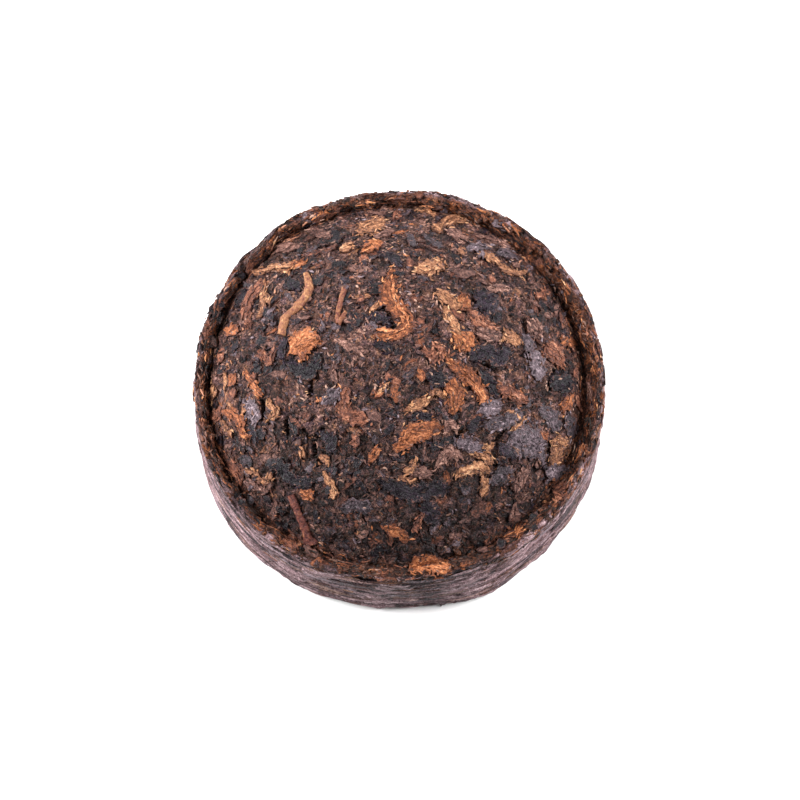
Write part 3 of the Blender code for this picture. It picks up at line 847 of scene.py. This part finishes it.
def lip_share(point):
    """1 on the lip and 0 elsewhere, with a soft change between them."""
    reach = math.hypot(point.x - DOME_OFFSET.x, point.y - DOME_OFFSET.y)
    high = fade(point.z, LIP_HEIGHT - 1.6 * MM, LIP_HEIGHT - 0.5 * MM)
    return fade(reach, groove_radius - 0.5 * MM, groove_radius) * high


def flakes(point, size, step, variety):
    """How far a flake stands out at its own level, and how near the place is to the flake's edge."""
    distances, middles = noise.voronoi(point / size)
    near_edge = max(0.0, 1 - (distances[1] - distances[0]) / CRACK_WIDTH)
    return step * noise.noise(middles[0] * variety), near_edge


# The seed of the noise that bends the flakes; without it they bend otherwise on every run.
noise.seed_set(7)


def torn_place(point):
    """The place bent to and fro, so that straight-sided flakes get ragged edges."""
    torn = point
    for length, reach in TORN_BENDS:
        torn = torn + reach * noise.noise_vector(point / length)
    return torn


def painted_front_shade(point):
    """How much painted shade darkens the leaf at a place on the dome, most towards the front."""
    on_dome = 1 - 0.5 * fade(math.hypot(point[0], point[1]), groove_radius - 0.6 * MM, groove_radius)
    return PAINTED_FRONT_SHADE * on_dome * fade(-point[1], FRONT_SHADE_FROM, FRONT_SHADE_TO)


def flake_tone_and_painted_shade(point):
    """How light the flake and the bit of leaf at a place are, from 0 to 1, less the painted shade at the
    front.
    """
    torn = torn_place(point)
    flake, bit = (noise.voronoi(torn / size)[1][0] for size in (FLAKE_SIZE, BIT_SIZE))
    own = FLAKE_TONE * noise.cell(flake * 31) + BIT_TONE * noise.cell(bit * 17)
    return 0.5 + own - painted_front_shade(point)


def leafy(point):
    """Leaf flakes pressed side by side, and the finer bits and fibres on them."""
    torn = torn_place(point)
    level, edge = flakes(torn, FLAKE_SIZE, FLAKE_STEP, FLAKE_VARIETY)
    bit, bit_edge = flakes(torn, BIT_SIZE, BIT_STEP, BIT_VARIETY)
    fibre = 1 - 4 * abs(grain(torn, FIBRE_SIZE, FIBRE_SEED))
    return level + bit + FIBRE_DEPTH * (fibre - 0.6) - CRACK_DEPTH * (edge + 0.6 * bit_edge)


def layered(point):
    """Leaf layers edge-on: long low ledges round the side, with finer layers on them."""
    angle = math.atan2(point.y, point.x)
    round_it = Vector((math.cos(angle), math.sin(angle), 0)) * CAKE_RADIUS
    ledge = noise.noise(round_it / LEDGE_LENGTH + Vector((0, 0, point.z / LEDGE_PITCH)))
    layer = noise.noise(round_it / LAYER_LENGTH + Vector((7, 3, point.z / LAYER_PITCH)))
    crease = noise.noise(round_it / LEDGE_LENGTH + Vector((1, 9, point.z / CREASE_PITCH)))
    crease = max(0.0, 1 - abs(crease) / CREASE_WIDTH)
    uneven = SIDE_UNEVEN * (grain(point, SIDE_WAVE, 5.0) + 0.6 * grain(point, SIDE_GRAIN, 6.0) - 0.3)
    return uneven + LEDGE_DEPTH * (ledge - 0.2) + LAYER_DEPTH * layer - CREASE_DEPTH * crease


def crumbly(point):
    """Torn crumbs squeezed up along the lip."""
    coarse, edge = flakes(point, CRUMB_SIZE, CRUMB_DEPTH, CRUMB_VARIETY)
    fine = grain(point, CRUMB_GRAIN_SIZE, 21.0)
    return coarse + CRUMB_GRAIN * fine - CRUMB_GAP * edge


def sculpt(point):
    """How far the surface stands out at a place."""
    side, lip = side_share(point), lip_share(point)
    lip *= 1 - side
    amount = side * layered(point) if side else 0.0
    amount += lip * crumbly(point) if lip else 0.0
    leaf = 1 - side - lip
    amount += leaf * leafy(point) if leaf > 0 else 0.0
    distance = cracks.find(point)[2]
    if distance < CRACK_REACH:
        amount -= CRACK_CUT * (1 - distance / CRACK_REACH) ** 0.7
    bed = fade(leaves.find(point)[2], 0.5 * LEAF_ROOM, LEAF_ROOM)
    return min(amount, LEAF_BED) * (1 - bed) + amount * bed


def layer_place(point):
    """Where a point lies round and up the side, counted in the lengths and heights of its streaks."""
    angle = math.atan2(point.y, point.x)
    round_it = (part * CAKE_RADIUS / LAYER_LENGTH for part in (math.cos(angle), math.sin(angle)))
    return (*round_it, point.z / STREAK_PITCH)


def attribute(mesh, name, values):
    """Keeps one number for each of a mesh's points."""
    mesh.attributes.new(name, "FLOAT", "POINT").data.foreach_set("value", np.array(values, np.float32))


def pressed_mass_finish():
    """Dark felted leaf on the dome and underneath, rust on the lip, mauve-brown layers on the side, with
    painted shade in the cracks and at the front of the dome, and painted sheen on the side.
    """
    finish, tree, shader = new_finish("pressed_ripe_tea")
    place = add_node(tree, "ShaderNodeTexCoord").outputs["Object"]
    layers = add_node(tree, "ShaderNodeAttribute", attribute_name="layer_place").outputs["Vector"]
    side, lip, sunk, own = (
        add_node(tree, "ShaderNodeAttribute", attribute_name=name).outputs["Fac"]
        for name in ("side", "lip", "sunk", "flake_tone_and_painted_shade")
    )
    curls, small_curls = (curled_fibres(tree, place, size) for size in CURL_SIZES)
    patches = noise_value(tree, place, 1 / PATCH_SIZE)
    streaks = noise_value(tree, layers, 1.0)
    specks = noise_value(tree, place, 1 / SPECK_SIZE)
    leaf_mix = total(tree, (own, 0.4), (specks, 0.35), (curls, 0.15), (small_curls, 0.15))
    leaf_mix = between(tree, leaf_mix, 0.22, 0.86)
    mauve, brown, rust = (ramp(tree, leaf_mix, MASS_TONES[kind]) for kind in ("mauve", "brown", "lip"))
    layer_mix = total(tree, (streaks, 0.55), (specks, 0.3), (small_curls, 0.15))
    felt = blend(tree, patches, mauve, brown)
    layers_tone = ramp(tree, between(tree, layer_mix, 0.2, 0.8), MASS_TONES["side"])
    tone = blend(tree, side, blend(tree, lip, felt, rust), layers_tone)
    # painted shade: the colour is darkened where the surface lies sunk in cracks and hollows
    tone = blend(tree, 1.0, tone, between(tree, sunk, 0.0, 1.0, 1.0, 0.25), "MULTIPLY")
    tree.links.new(tone, shader.inputs["Base Color"])
    tree.links.new(between(tree, curls, 0.0, 1.0, 0.65, 0.45), shader.inputs["Roughness"])
    shader.inputs["Specular IOR Level"].default_value = LEAF_SHINE
    relief = total(tree, (curls, 0.4), (small_curls, 0.4), (streaks, 0.2), (specks, 0.4))
    roughen(tree, shader, relief, MASS_ROUGH)
    return finish


cake = pressed_form(cuts=2)
reliefs, sides, lips, tones = (
    [measure(vertex.co) for vertex in cake.verts] for measure in (sculpt, side_share, lip_share, flake_tone_and_painted_shade)
)
level_normals = [vertex.normal.copy() for vertex in cake.verts]
for vertex, relief, outwards in zip(cake.verts, reliefs, level_normals):
    vertex.co += outwards * relief
    vertex.co.z = max(vertex.co.z, 0.0)
cake_mesh = bpy.data.meshes.new("pressed_mass")
cake.to_mesh(cake_mesh)
cake_mesh.shade_smooth()
attribute(cake_mesh, "side", sides)
attribute(cake_mesh, "lip", lips)
attribute(cake_mesh, "flake_tone_and_painted_shade", tones)
# painted shade in cracks and hollows: how far below the surface each point is sunk
attribute(cake_mesh, "sunk", [min(1.0, max(0.0, (-CRACK_SHADE_FROM - relief) / CRACK_SHADE_OVER)) for relief in reliefs])
layer_places = np.array([layer_place(vertex.co) for vertex in cake.verts], np.float32)
layer_field = cake_mesh.attributes.new("layer_place", "FLOAT_VECTOR", "POINT")
layer_field.data.foreach_set("vector", layer_places.ravel())
mass = piece("pressed_mass", cake_mesh, pressed_mass_finish(), "ripe_tea")
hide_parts("tea_cake")


# Small flakes
# Between the larger pieces lie many hundreds of small torn flakes, pressed flat at slightly
# different levels. They are copies of one shape, each torn and bent its own way.
FLAKE_KINDS = {  # how many on the dome, in the foot and its hollow, and round the lip
    "golden": (50, 30, 10),
    "orange": (35, 30, 20),
    "rust": (180, 90, 60),
    "pink": (240, 110, 20),
    "blue-black": (300, 120, 20),
    "grey": (220, 100, 10),
}
FLAKE_LENGTH, FLAKE_WIDTH = (0.5 * MM, 1.6 * MM), (0.3 * MM, 0.85 * MM)
FLAKE_THICKNESS, FLAKE_LIFT = 0.14 * MM, (-0.04 * MM, 0.04 * MM)
FLAKE_COLUMNS, FLAKE_ROWS = 5, 3
FLAKE_TORN, FLAKE_ENDS = (0.65, 1.15), (-0.35, 0.2)  # as shares of its width and its length
FLAKE_SWERVE, FLAKE_BOW, FLAKE_CUP, FLAKE_TWIST = 0.12, 0.09, 0.12, 0.12
FLAKE_ROUGH, FLAKE_TILT = 0.012 * MM, 0.08
LEAF_CLEAR = 0.08 * MM  # how near a laid leaf most of the small ones stay away
LEAVES_CROSSED = 0.1  # the share that cross onto one all the same
LEAF_SPILL = 0.12 * MM
CRACK_CLEAR = 0.16 * MM
FOOT_CLEAR = 0.2 * MM
OUTLINE_RADIUS = CAKE_RADIUS + 0.06 * MM  # nothing small reaches farther out than this
BIT_SHARP_FROM = math.radians(40)
rng = np.random.default_rng(31)

ground = np.array([vertex.co for vertex in cake.verts])
upwards = np.array(level_normals)
room = np.array([sum(face.calc_area() for face in vertex.link_faces) for vertex in cake.verts])
reach = np.hypot(ground[:, 0], ground[:, 1])
underneath = (ground[:, 2] < HOLLOW_DEPTH + 0.3 * MM) & (reach <= CAKE_RADIUS - FOOT_ROUND - FOOT_CLEAR)
side_amount, lip_amount = np.array(sides), np.array(lips)
regions = {  # how likely a bit of leaf is to lie at each point of the form
    "dome": room * (1 - side_amount) * (1 - 0.9 * lip_amount) * (ground[:, 2] > LIP_HEIGHT - MM),
    "under": room * underneath,
    "lip": room * lip_amount,
}


def copies(pattern, count):
    """One mesh that holds some copies of a shape, one after the other, and their points' places."""
    single = bpy.data.meshes.new("pattern")
    pattern.to_mesh(single)
    carrier = add_object("pattern", single)
    repeat = carrier.modifiers.new("copies", "ARRAY")
    repeat.count = count
    repeat.use_relative_offset = False
    evaluated = carrier.evaluated_get(bpy.context.evaluated_depsgraph_get())
    joined = bpy.data.meshes.new_from_object(evaluated)
    bpy.data.objects.remove(carrier)
    flat = np.empty(len(joined.vertices) * 3, np.float32)
    joined.vertices.foreach_get("co", flat)
    return joined, flat.reshape(count, -1, 3)


def pick(region, count, swerve, crack_clear=CRACK_CLEAR):
    """Random places in a region, clear of the laid leaves, each with its directions and its own tint.

    Bits near each other come from one broken flake, so they lie much the same way.
    """
    share = regions[region] / regions[region].sum()
    spots = []
    for number in rng.choice(len(share), 3 * count, p=share):
        place, outwards = ground[number], upwards[number]
        if leaves.find(place)[2] < LEAF_CLEAR and rng.uniform() > LEAVES_CROSSED:
            continue
        if cracks.find(place)[2] < crack_clear:
            continue
        middle = noise.voronoi(Vector(place) / FLAKE_SIZE)[1][0]
        turn = math.tau * noise.cell(middle * 7.7) + rng.normal(0, swerve)
        if region == "lip":
            turn = math.atan2(place[0], -place[1]) + rng.normal(0, 0.6 * swerve)
        way = (math.cos(turn), math.sin(turn), 0.3 * math.sin(3 * turn))
        spots.append((place, outwards, way, noise.cell(middle * 3.3)))
        if len(spots) == count:
            break
    return spots


def pick_all(counts, swerve, crack_clear=CRACK_CLEAR):
    """Random places on the dome, underneath and on the lip, as many in each as asked for."""
    places = []
    for region, count in zip(regions, counts):
        places += pick(region, count, swerve, crack_clear)
    return places


def over_leaves(kind, count, swerve):
    """Random places on the laid leaves of a kind and just beside them."""
    spots = []
    for number in rng.integers(0, len(leaf_spots[kind]), count):
        place, outwards, way = leaf_spots[kind][number]
        way = Matrix.Rotation(rng.normal(0, swerve), 3, outwards) @ way
        beside = Vector(rng.normal(0, LEAF_SPILL, 3))
        spots.append((place + beside - outwards * beside.dot(outwards), outwards, way, 0.6))
    return spots


def strew(name, pattern, spots, shape_it, tilt, lift, finish, slot):
    """Lays many copies of a shape on the cake, each shaped, turned and tinted in its own way."""
    count = len(spots)
    places, outwards, ways = (np.array([spot[number] for spot in spots]) for number in range(3))
    # painted shade: each copy's tint is darkened towards the front of the dome
    own_tints = np.array([0.3 * own - painted_front_shade(place) for place, _, _, own in spots])
    own_tints = own_tints + rng.uniform(0, 0.7, count)
    mesh, flat = copies(pattern, count)
    local, along = shape_it(flat)
    level = outwards + rng.normal(0, tilt, (count, 3))
    level /= np.linalg.norm(level, axis=1)[:, None]
    crosswise = np.cross(level, ways)
    crosswise /= np.linalg.norm(crosswise, axis=1)[:, None]
    turned = np.stack([np.cross(crosswise, level), crosswise, level], axis=1)
    start = places + outwards * rng.uniform(*lift, count)[:, None]
    placed = start[:, None, :] + np.einsum("cvk,ckd->cvd", local, turned)
    placed[:, :, 2] = np.clip(placed[:, :, 2], 0.0, cad_high.z)
    far = np.hypot(placed[:, :, 0], placed[:, :, 1])
    placed[:, :, :2] *= (np.minimum(far, OUTLINE_RADIUS) / far)[..., None]
    edges = np.abs(flat[..., :2]).max(axis=2)
    along = along + rng.uniform(0, 90, (count, 1, 1))
    return finished_copies(name, mesh, placed, along, own_tints, edges, finish, slot)


def finished_copies(name, mesh, placed, along, own_tints, edges, finish, slot):
    """Puts copies in their places, with their fibre directions, their tints and their edges."""
    mesh.vertices.foreach_set("co", placed.astype(np.float32).ravel())
    attribute(mesh, "tint", np.repeat(own_tints, placed.shape[1]))
    attribute(mesh, "edge", edges.ravel())
    corner = np.empty(len(mesh.loops), np.int32)
    mesh.loops.foreach_get("vertex_index", corner)
    layer = mesh.uv_layers.get("along") or mesh.uv_layers.new(name="along")
    layer.data.foreach_set("uv", along.reshape(-1, 2)[corner].astype(np.float32).ravel())
    mesh.update()
    mesh.shade_smooth()
    mesh.set_sharp_from_angle(angle=BIT_SHARP_FROM)
    return piece(name, mesh, finish, slot)


def torn_flakes(flat):
    """Flat strips from -1 to 1 become torn flakes of their own size, bent and curled."""
    count = len(flat)
    along, across, sunk = flat[..., 0], flat[..., 1], flat[..., 2]
    length = rng.uniform(*FLAKE_LENGTH, count)[:, None] * 0.5
    width = rng.uniform(*FLAKE_WIDTH, count)[:, None] * 0.5
    column = np.round((along[0] + 1) * 0.5 * FLAKE_COLUMNS).astype(int)
    row = np.round((across[0] + 1) * 0.5 * FLAKE_ROWS).astype(int)
    torn = rng.uniform(*FLAKE_TORN, (count, FLAKE_COLUMNS + 1, 2))[:, column, (across[0] > 0).astype(int)]
    ends = rng.uniform(*FLAKE_ENDS, (count, FLAKE_ROWS + 1, 2))[:, row, (along[0] > 0).astype(int)]
    lens = (1 - np.abs(along) ** 2.6 * 0.8) ** 0.6
    x = length * (along + np.sign(along) * ends * np.abs(along) ** 3)
    y = width * across * lens * torn + rng.normal(0, FLAKE_SWERVE, (count, 1)) * x * np.abs(x) / length
    bow = rng.normal(0, FLAKE_BOW, (count, 1)) * x**2 / length
    bow = bow + rng.normal(0, FLAKE_CUP, (count, 1)) * y**2 / width
    twist = rng.normal(0, FLAKE_TWIST, (count, 1)) * x * y / width
    rough = rng.normal(0, FLAKE_ROUGH, flat.shape[:2]) * (sunk > -0.5)
    z = FLAKE_THICKNESS * sunk + bow + twist + rough - (x**2 + y**2) / (2 * dome_sphere)
    return np.stack([x, y, z], axis=2), np.stack([x, y], axis=2) / MM


flake_pattern = bmesh.new()
flat_strip(flake_pattern, FLAKE_COLUMNS, FLAKE_ROWS)
bmesh.ops.recalc_face_normals(flake_pattern, faces=flake_pattern.faces)
for kind, counts in FLAKE_KINDS.items():
    how = (torn_flakes, FLAKE_TILT, FLAKE_LIFT, leaf_finishes[kind], LEAF_KINDS[kind][2])
    strew(kind + "_flakes", flake_pattern, pick_all(counts, 0.7, 3 * CRACK_CLEAR), *how)


# Fibres and shreds
# The whole surface is a felt of short leaf fibres and shreds, mostly lying the way of the flake
# they broke from. They are thin three-sided slivers that taper at both ends.
SHRED_LENGTH, SHRED_WIDTH = (0.14 * MM, 0.5 * MM), (0.09 * MM, 0.22 * MM)
SHRED_HEIGHT, SHRED_LIFT = 0.08 * MM, (-0.05 * MM, 0.05 * MM)
SHRED_SWERVE, SHRED_BOW, SHRED_TILT = 0.28, 0.05, 0.07
SHRED_STATIONS = 3
SHRED_KINDS = {  # how many on the dome, underneath, round the lip, and over the laid leaves
    "golden": (240, 150, 60, 650),
    "orange": (140, 100, 100, 600),
    "rust": (1100, 500, 500, 600),
    "pink": (1900, 1000, 100, 500),
    "grey": (1500, 900, 60, 500),
    "blue-black": (1900, 900, 200, 600),
    "brown": (3600, 1800, 200, 300),
}
BROWN_TONES = ((24, 14, 8), (67, 45, 37), (121, 89, 77), (186, 150, 133))


def sliver(stations):
    """A three-sided sliver, cut across into equal parts so that it can bend."""
    bm = bmesh.new()
    bmesh.ops.create_cone(bm, cap_ends=True, segments=3, radius1=1, radius2=1, depth=1)
    for number in range(1, stations):
        middle = (0, 0, number / stations - 0.5)
        everything = bm.verts[:] + bm.edges[:] + bm.faces[:]
        bmesh.ops.bisect_plane(bm, geom=everything, plane_co=middle, plane_no=(0, 0, 1))
    bmesh.ops.recalc_face_normals(bm, faces=bm.faces)
    return bm


def tapered_shreds(flat, lengths=SHRED_LENGTH):
    """Straight slivers become tapered, bent ones of their own size."""
    count = len(flat)
    across, up, along = flat[..., 0], flat[..., 1], flat[..., 2] * 2
    length = rng.uniform(*lengths, count)[:, None] * 0.5
    width = rng.uniform(*SHRED_WIDTH, count)[:, None] * 0.5
    taper = 1 - 0.75 * np.abs(along) ** 2
    x = length * along
    y = width * across * taper + rng.normal(0, SHRED_SWERVE, (count, 1)) * length * along**2
    z = SHRED_HEIGHT * 0.5 * up * taper + rng.normal(0, SHRED_BOW, (count, 1)) * length * along**2
    return np.stack([x, y, z], axis=2), np.stack([x, y], axis=2) / MM


shred_pattern = sliver(SHRED_STATIONS)
shred_looks = {kind: (tones, gloss) for kind, (tones, gloss, *_) in LEAF_KINDS.items()}
shred_looks["brown"] = (BROWN_TONES, 0.4)
shred_finishes = {
    kind: leaf_finish(kind + "_shred", *looks, own_share=0.6) for kind, looks in shred_looks.items()
}
leaf_spots["brown"] = [spot for spots in leaf_spots.values() for spot in spots]  # they lie over any leaf
for kind, (*counts, over) in SHRED_KINDS.items():
    spots = pick_all(counts, 0.9)
    spots += over_leaves(kind, over, 0.5)
    slot = LEAF_KINDS[kind][2] if kind in LEAF_KINDS else "ripe_tea"
    how = (tapered_shreds, SHRED_TILT, SHRED_LIFT, shred_finishes[kind], slot)
    strew(kind + "_shreds", shred_pattern, spots, *how)


# Strips and crumbs on the lip
# The squeezed-up lip is torn leaf drawn out along the rim, rust and brown, with angular crumbs of
# the same leaf sticking to it.
LIP_STRIPS = {"rust": 1600, "brown": 800, "blue-black": 460, "orange": 680, "pink": 40, "golden": 140}
LIP_STRIP_LENGTH = (0.25 * MM, 1.0 * MM)
CRUMB_COUNT = 500
CRUMB_SPAN = (0.08 * MM, 0.24 * MM)
CRUMB_LIFT = (-0.08 * MM, 0.06 * MM)
CRUMB_TONES = ((14, 7, 5), (52, 27, 17), (104, 60, 38), (166, 112, 76))


def lip_strips(flat):
    """Shreds that are longer than elsewhere, drawn out along the lip."""
    return tapered_shreds(flat, LIP_STRIP_LENGTH)


def angular_crumbs(flat):
    """Balls become angular crumbs of their own size."""
    count = len(flat)
    span = rng.uniform(*CRUMB_SPAN, count)[:, None, None]
    shape = flat * span * rng.uniform(0.6, 1.3, (count, 1, 3)) * rng.uniform(0.75, 1.2, flat.shape)
    return shape, shape[..., :2] / MM


for kind, count in LIP_STRIPS.items():
    how = (lip_strips, 0.1, SHRED_LIFT, shred_finishes[kind], "rust_leaf")
    strew(kind + "_lip_strips", shred_pattern, pick("lip", count, 0.4), *how)
crumb_pattern = bmesh.new()
bmesh.ops.create_icosphere(crumb_pattern, subdivisions=1, radius=1)
how = (angular_crumbs, 0.3, CRUMB_LIFT, leaf_finish("crumbs", CRUMB_TONES, 0.35), "rust_leaf")
strew("lip_crumbs", crumb_pattern, pick("lip", CRUMB_COUNT, 3.0), *how)


# Layers round the side
# The upright side shows the leaf layers edge-on: long thin strips that run level round the cake,
# rubbed smooth by the die, each standing a little out or in.
RIBBON_LENGTH, RIBBON_WIDTH = (0.9 * MM, 4.6 * MM), (0.14 * MM, 0.56 * MM)
RIBBON_THICKNESS, RIBBON_LIFT = 0.14 * MM, (-0.16 * MM, -0.03 * MM)
RIBBON_FROM, RIBBON_TO = 0.15 * MM, LIP_HEIGHT - 0.6 * MM  # how high up their middles lie
RIBBON_TOP = LIP_HEIGHT - 0.35 * MM
RIBBON_SLOPE, RIBBON_WAVE = 0.05, 0.1 * MM
RIBBON_STATIONS = 8
# their light mauve-grey tones are partly the layers' own colour and partly painted sheen, the grazing
# reflection of the white floor
SIDE_KINDS_WITH_PAINTED_SHEEN = {  # how many, and their tones from the darkest to the lightest streaks
    "mauve": (560, ((35, 24, 27), (92, 69, 73), (141, 114, 118), (188, 164, 167))),
    "slate": (200, ((26, 20, 24), (73, 60, 65), (116, 100, 106), (160, 143, 149))),
    "brown": (170, ((30, 21, 19), (79, 58, 53), (122, 94, 86), (166, 138, 126))),
    "pink": (190, ((34, 22, 22), (94, 68, 66), (140, 109, 106), (184, 155, 150))),
    "rust": (60, ((24, 14, 11), (74, 46, 36), (118, 80, 64), (164, 122, 100))),
    "dark": (240, ((18, 12, 15), (40, 30, 34), (68, 54, 58), (108, 90, 95))),
}


def ribbons_round_side(flat):
    """Straight slivers become level strips wrapped round the side."""
    count = len(flat)
    across, out, along = flat[..., 0], flat[..., 1], flat[..., 2] * 2
    length = rng.uniform(*RIBBON_LENGTH, count)[:, None] * 0.5
    width = rng.uniform(*RIBBON_WIDTH, count)[:, None] * 0.5
    taper = 1 - 0.8 * np.abs(along) ** 3
    turn = rng.uniform(0, math.tau, (count, 1)) + length * along / CAKE_RADIUS
    middle = rng.uniform(RIBBON_FROM, RIBBON_TO, (count, 1))
    slope = rng.normal(0, RIBBON_SLOPE, (count, 1)) * length * along
    wave = RIBBON_WAVE * np.sin(rng.uniform(0, 6, (count, 1)) + turn * rng.uniform(8, 20, (count, 1)))
    height = middle + slope + wave * 0.5 + across * width * taper
    height = np.clip(height, 0.0, RIBBON_TOP)
    lift = rng.uniform(*RIBBON_LIFT, (count, 1)) + 0.4 * wave
    placed = np.empty(flat.shape)
    for number, (angle, level) in enumerate(zip(turn.ravel(), height.ravel())):
        towards = Vector((math.cos(angle), math.sin(angle), 0))
        start = towards * 2 * CAKE_RADIUS + Vector((0, 0, max(level, 0.3 * FOOT_ROUND)))
        surface = core_tree.ray_cast(start, -towards)[0]
        placed.reshape(-1, 3)[number] = surface.x, surface.y, level
    placed[..., :2] *= 1 + (lift + RIBBON_THICKNESS * 0.5 * out * taper)[..., None] / CAKE_RADIUS
    return placed, np.stack([turn * CAKE_RADIUS, across * width], axis=2) / MM


ribbon_pattern = sliver(RIBBON_STATIONS)
for kind, (count, tones) in SIDE_KINDS_WITH_PAINTED_SHEEN.items():
    ribbons, flat = copies(ribbon_pattern, count)
    placed, along = ribbons_round_side(flat)
    side_finish_with_painted_sheen = leaf_finish(kind + "_layer", tones, 0.5, grain_along=(0.8, 3.6), own_share=0.3, torn=True)
    edges = (np.abs(flat) * (1, 0, 2)).max(axis=2)
    how = (placed, along, rng.uniform(0, 1, count), edges, side_finish_with_painted_sheen, "ripe_tea")
    finished_copies(kind + "_side_layers", ribbons, *how)


# The floor and the light
# A plain white floor under a white room. Two big soft lamps stand left and right, a little behind
# the cake, and a weak third one stands high behind it.
FLOOR_SIZE = 3.0
LAMPS = {  # where each stands in metres, how wide and high it is, and its power
    "lamp_left": ((-0.38, 0.09, 0.2), (0.24, 0.3), 6.6),
    "lamp_right": ((0.37, 0.08, 0.21), (0.24, 0.3), 4.8),
    "lamp_back": ((0.0, 0.4, 0.4), (0.5, 0.2), 0.6),
}
ROOM_LIGHT = 0.32
floor_bm = bmesh.new()
bmesh.ops.create_grid(floor_bm, x_segments=1, y_segments=1, size=0.5 * FLOOR_SIZE)
floor_mesh = bpy.data.meshes.new("floor")
floor_bm.to_mesh(floor_mesh)
floor = add_object("floor", floor_mesh)
floor_finish, floor_tree, floor_shader = new_finish("white_floor")
floor_shader.inputs["Base Color"].default_value = (0.9, 0.9, 0.9, 1)
floor_shader.inputs["Roughness"].default_value = 0.9
floor_shader.inputs["Specular IOR Level"].default_value = 0.0
floor_mesh.materials.append(floor_finish)

for name, (place, (wide, high), power) in LAMPS.items():
    lamp_data = bpy.data.lights.new(name, "AREA")
    lamp_data.shape = "RECTANGLE"
    lamp_data.size, lamp_data.size_y = wide, high
    lamp_data.energy = power
    lamp = add_object(name, lamp_data)
    lamp.location = place
    lamp.rotation_euler = (-Vector(place)).to_track_quat("-Z", "Y").to_euler()

world = bpy.data.worlds.new("studio")
world.use_nodes = True
background = world.node_tree.nodes["Background"]
background.inputs["Color"].default_value = (1, 1, 1, 1)
background.inputs["Strength"].default_value = ROOM_LIGHT
bpy.context.scene.world = world
bpy.context.scene.view_settings.view_transform = "Standard"
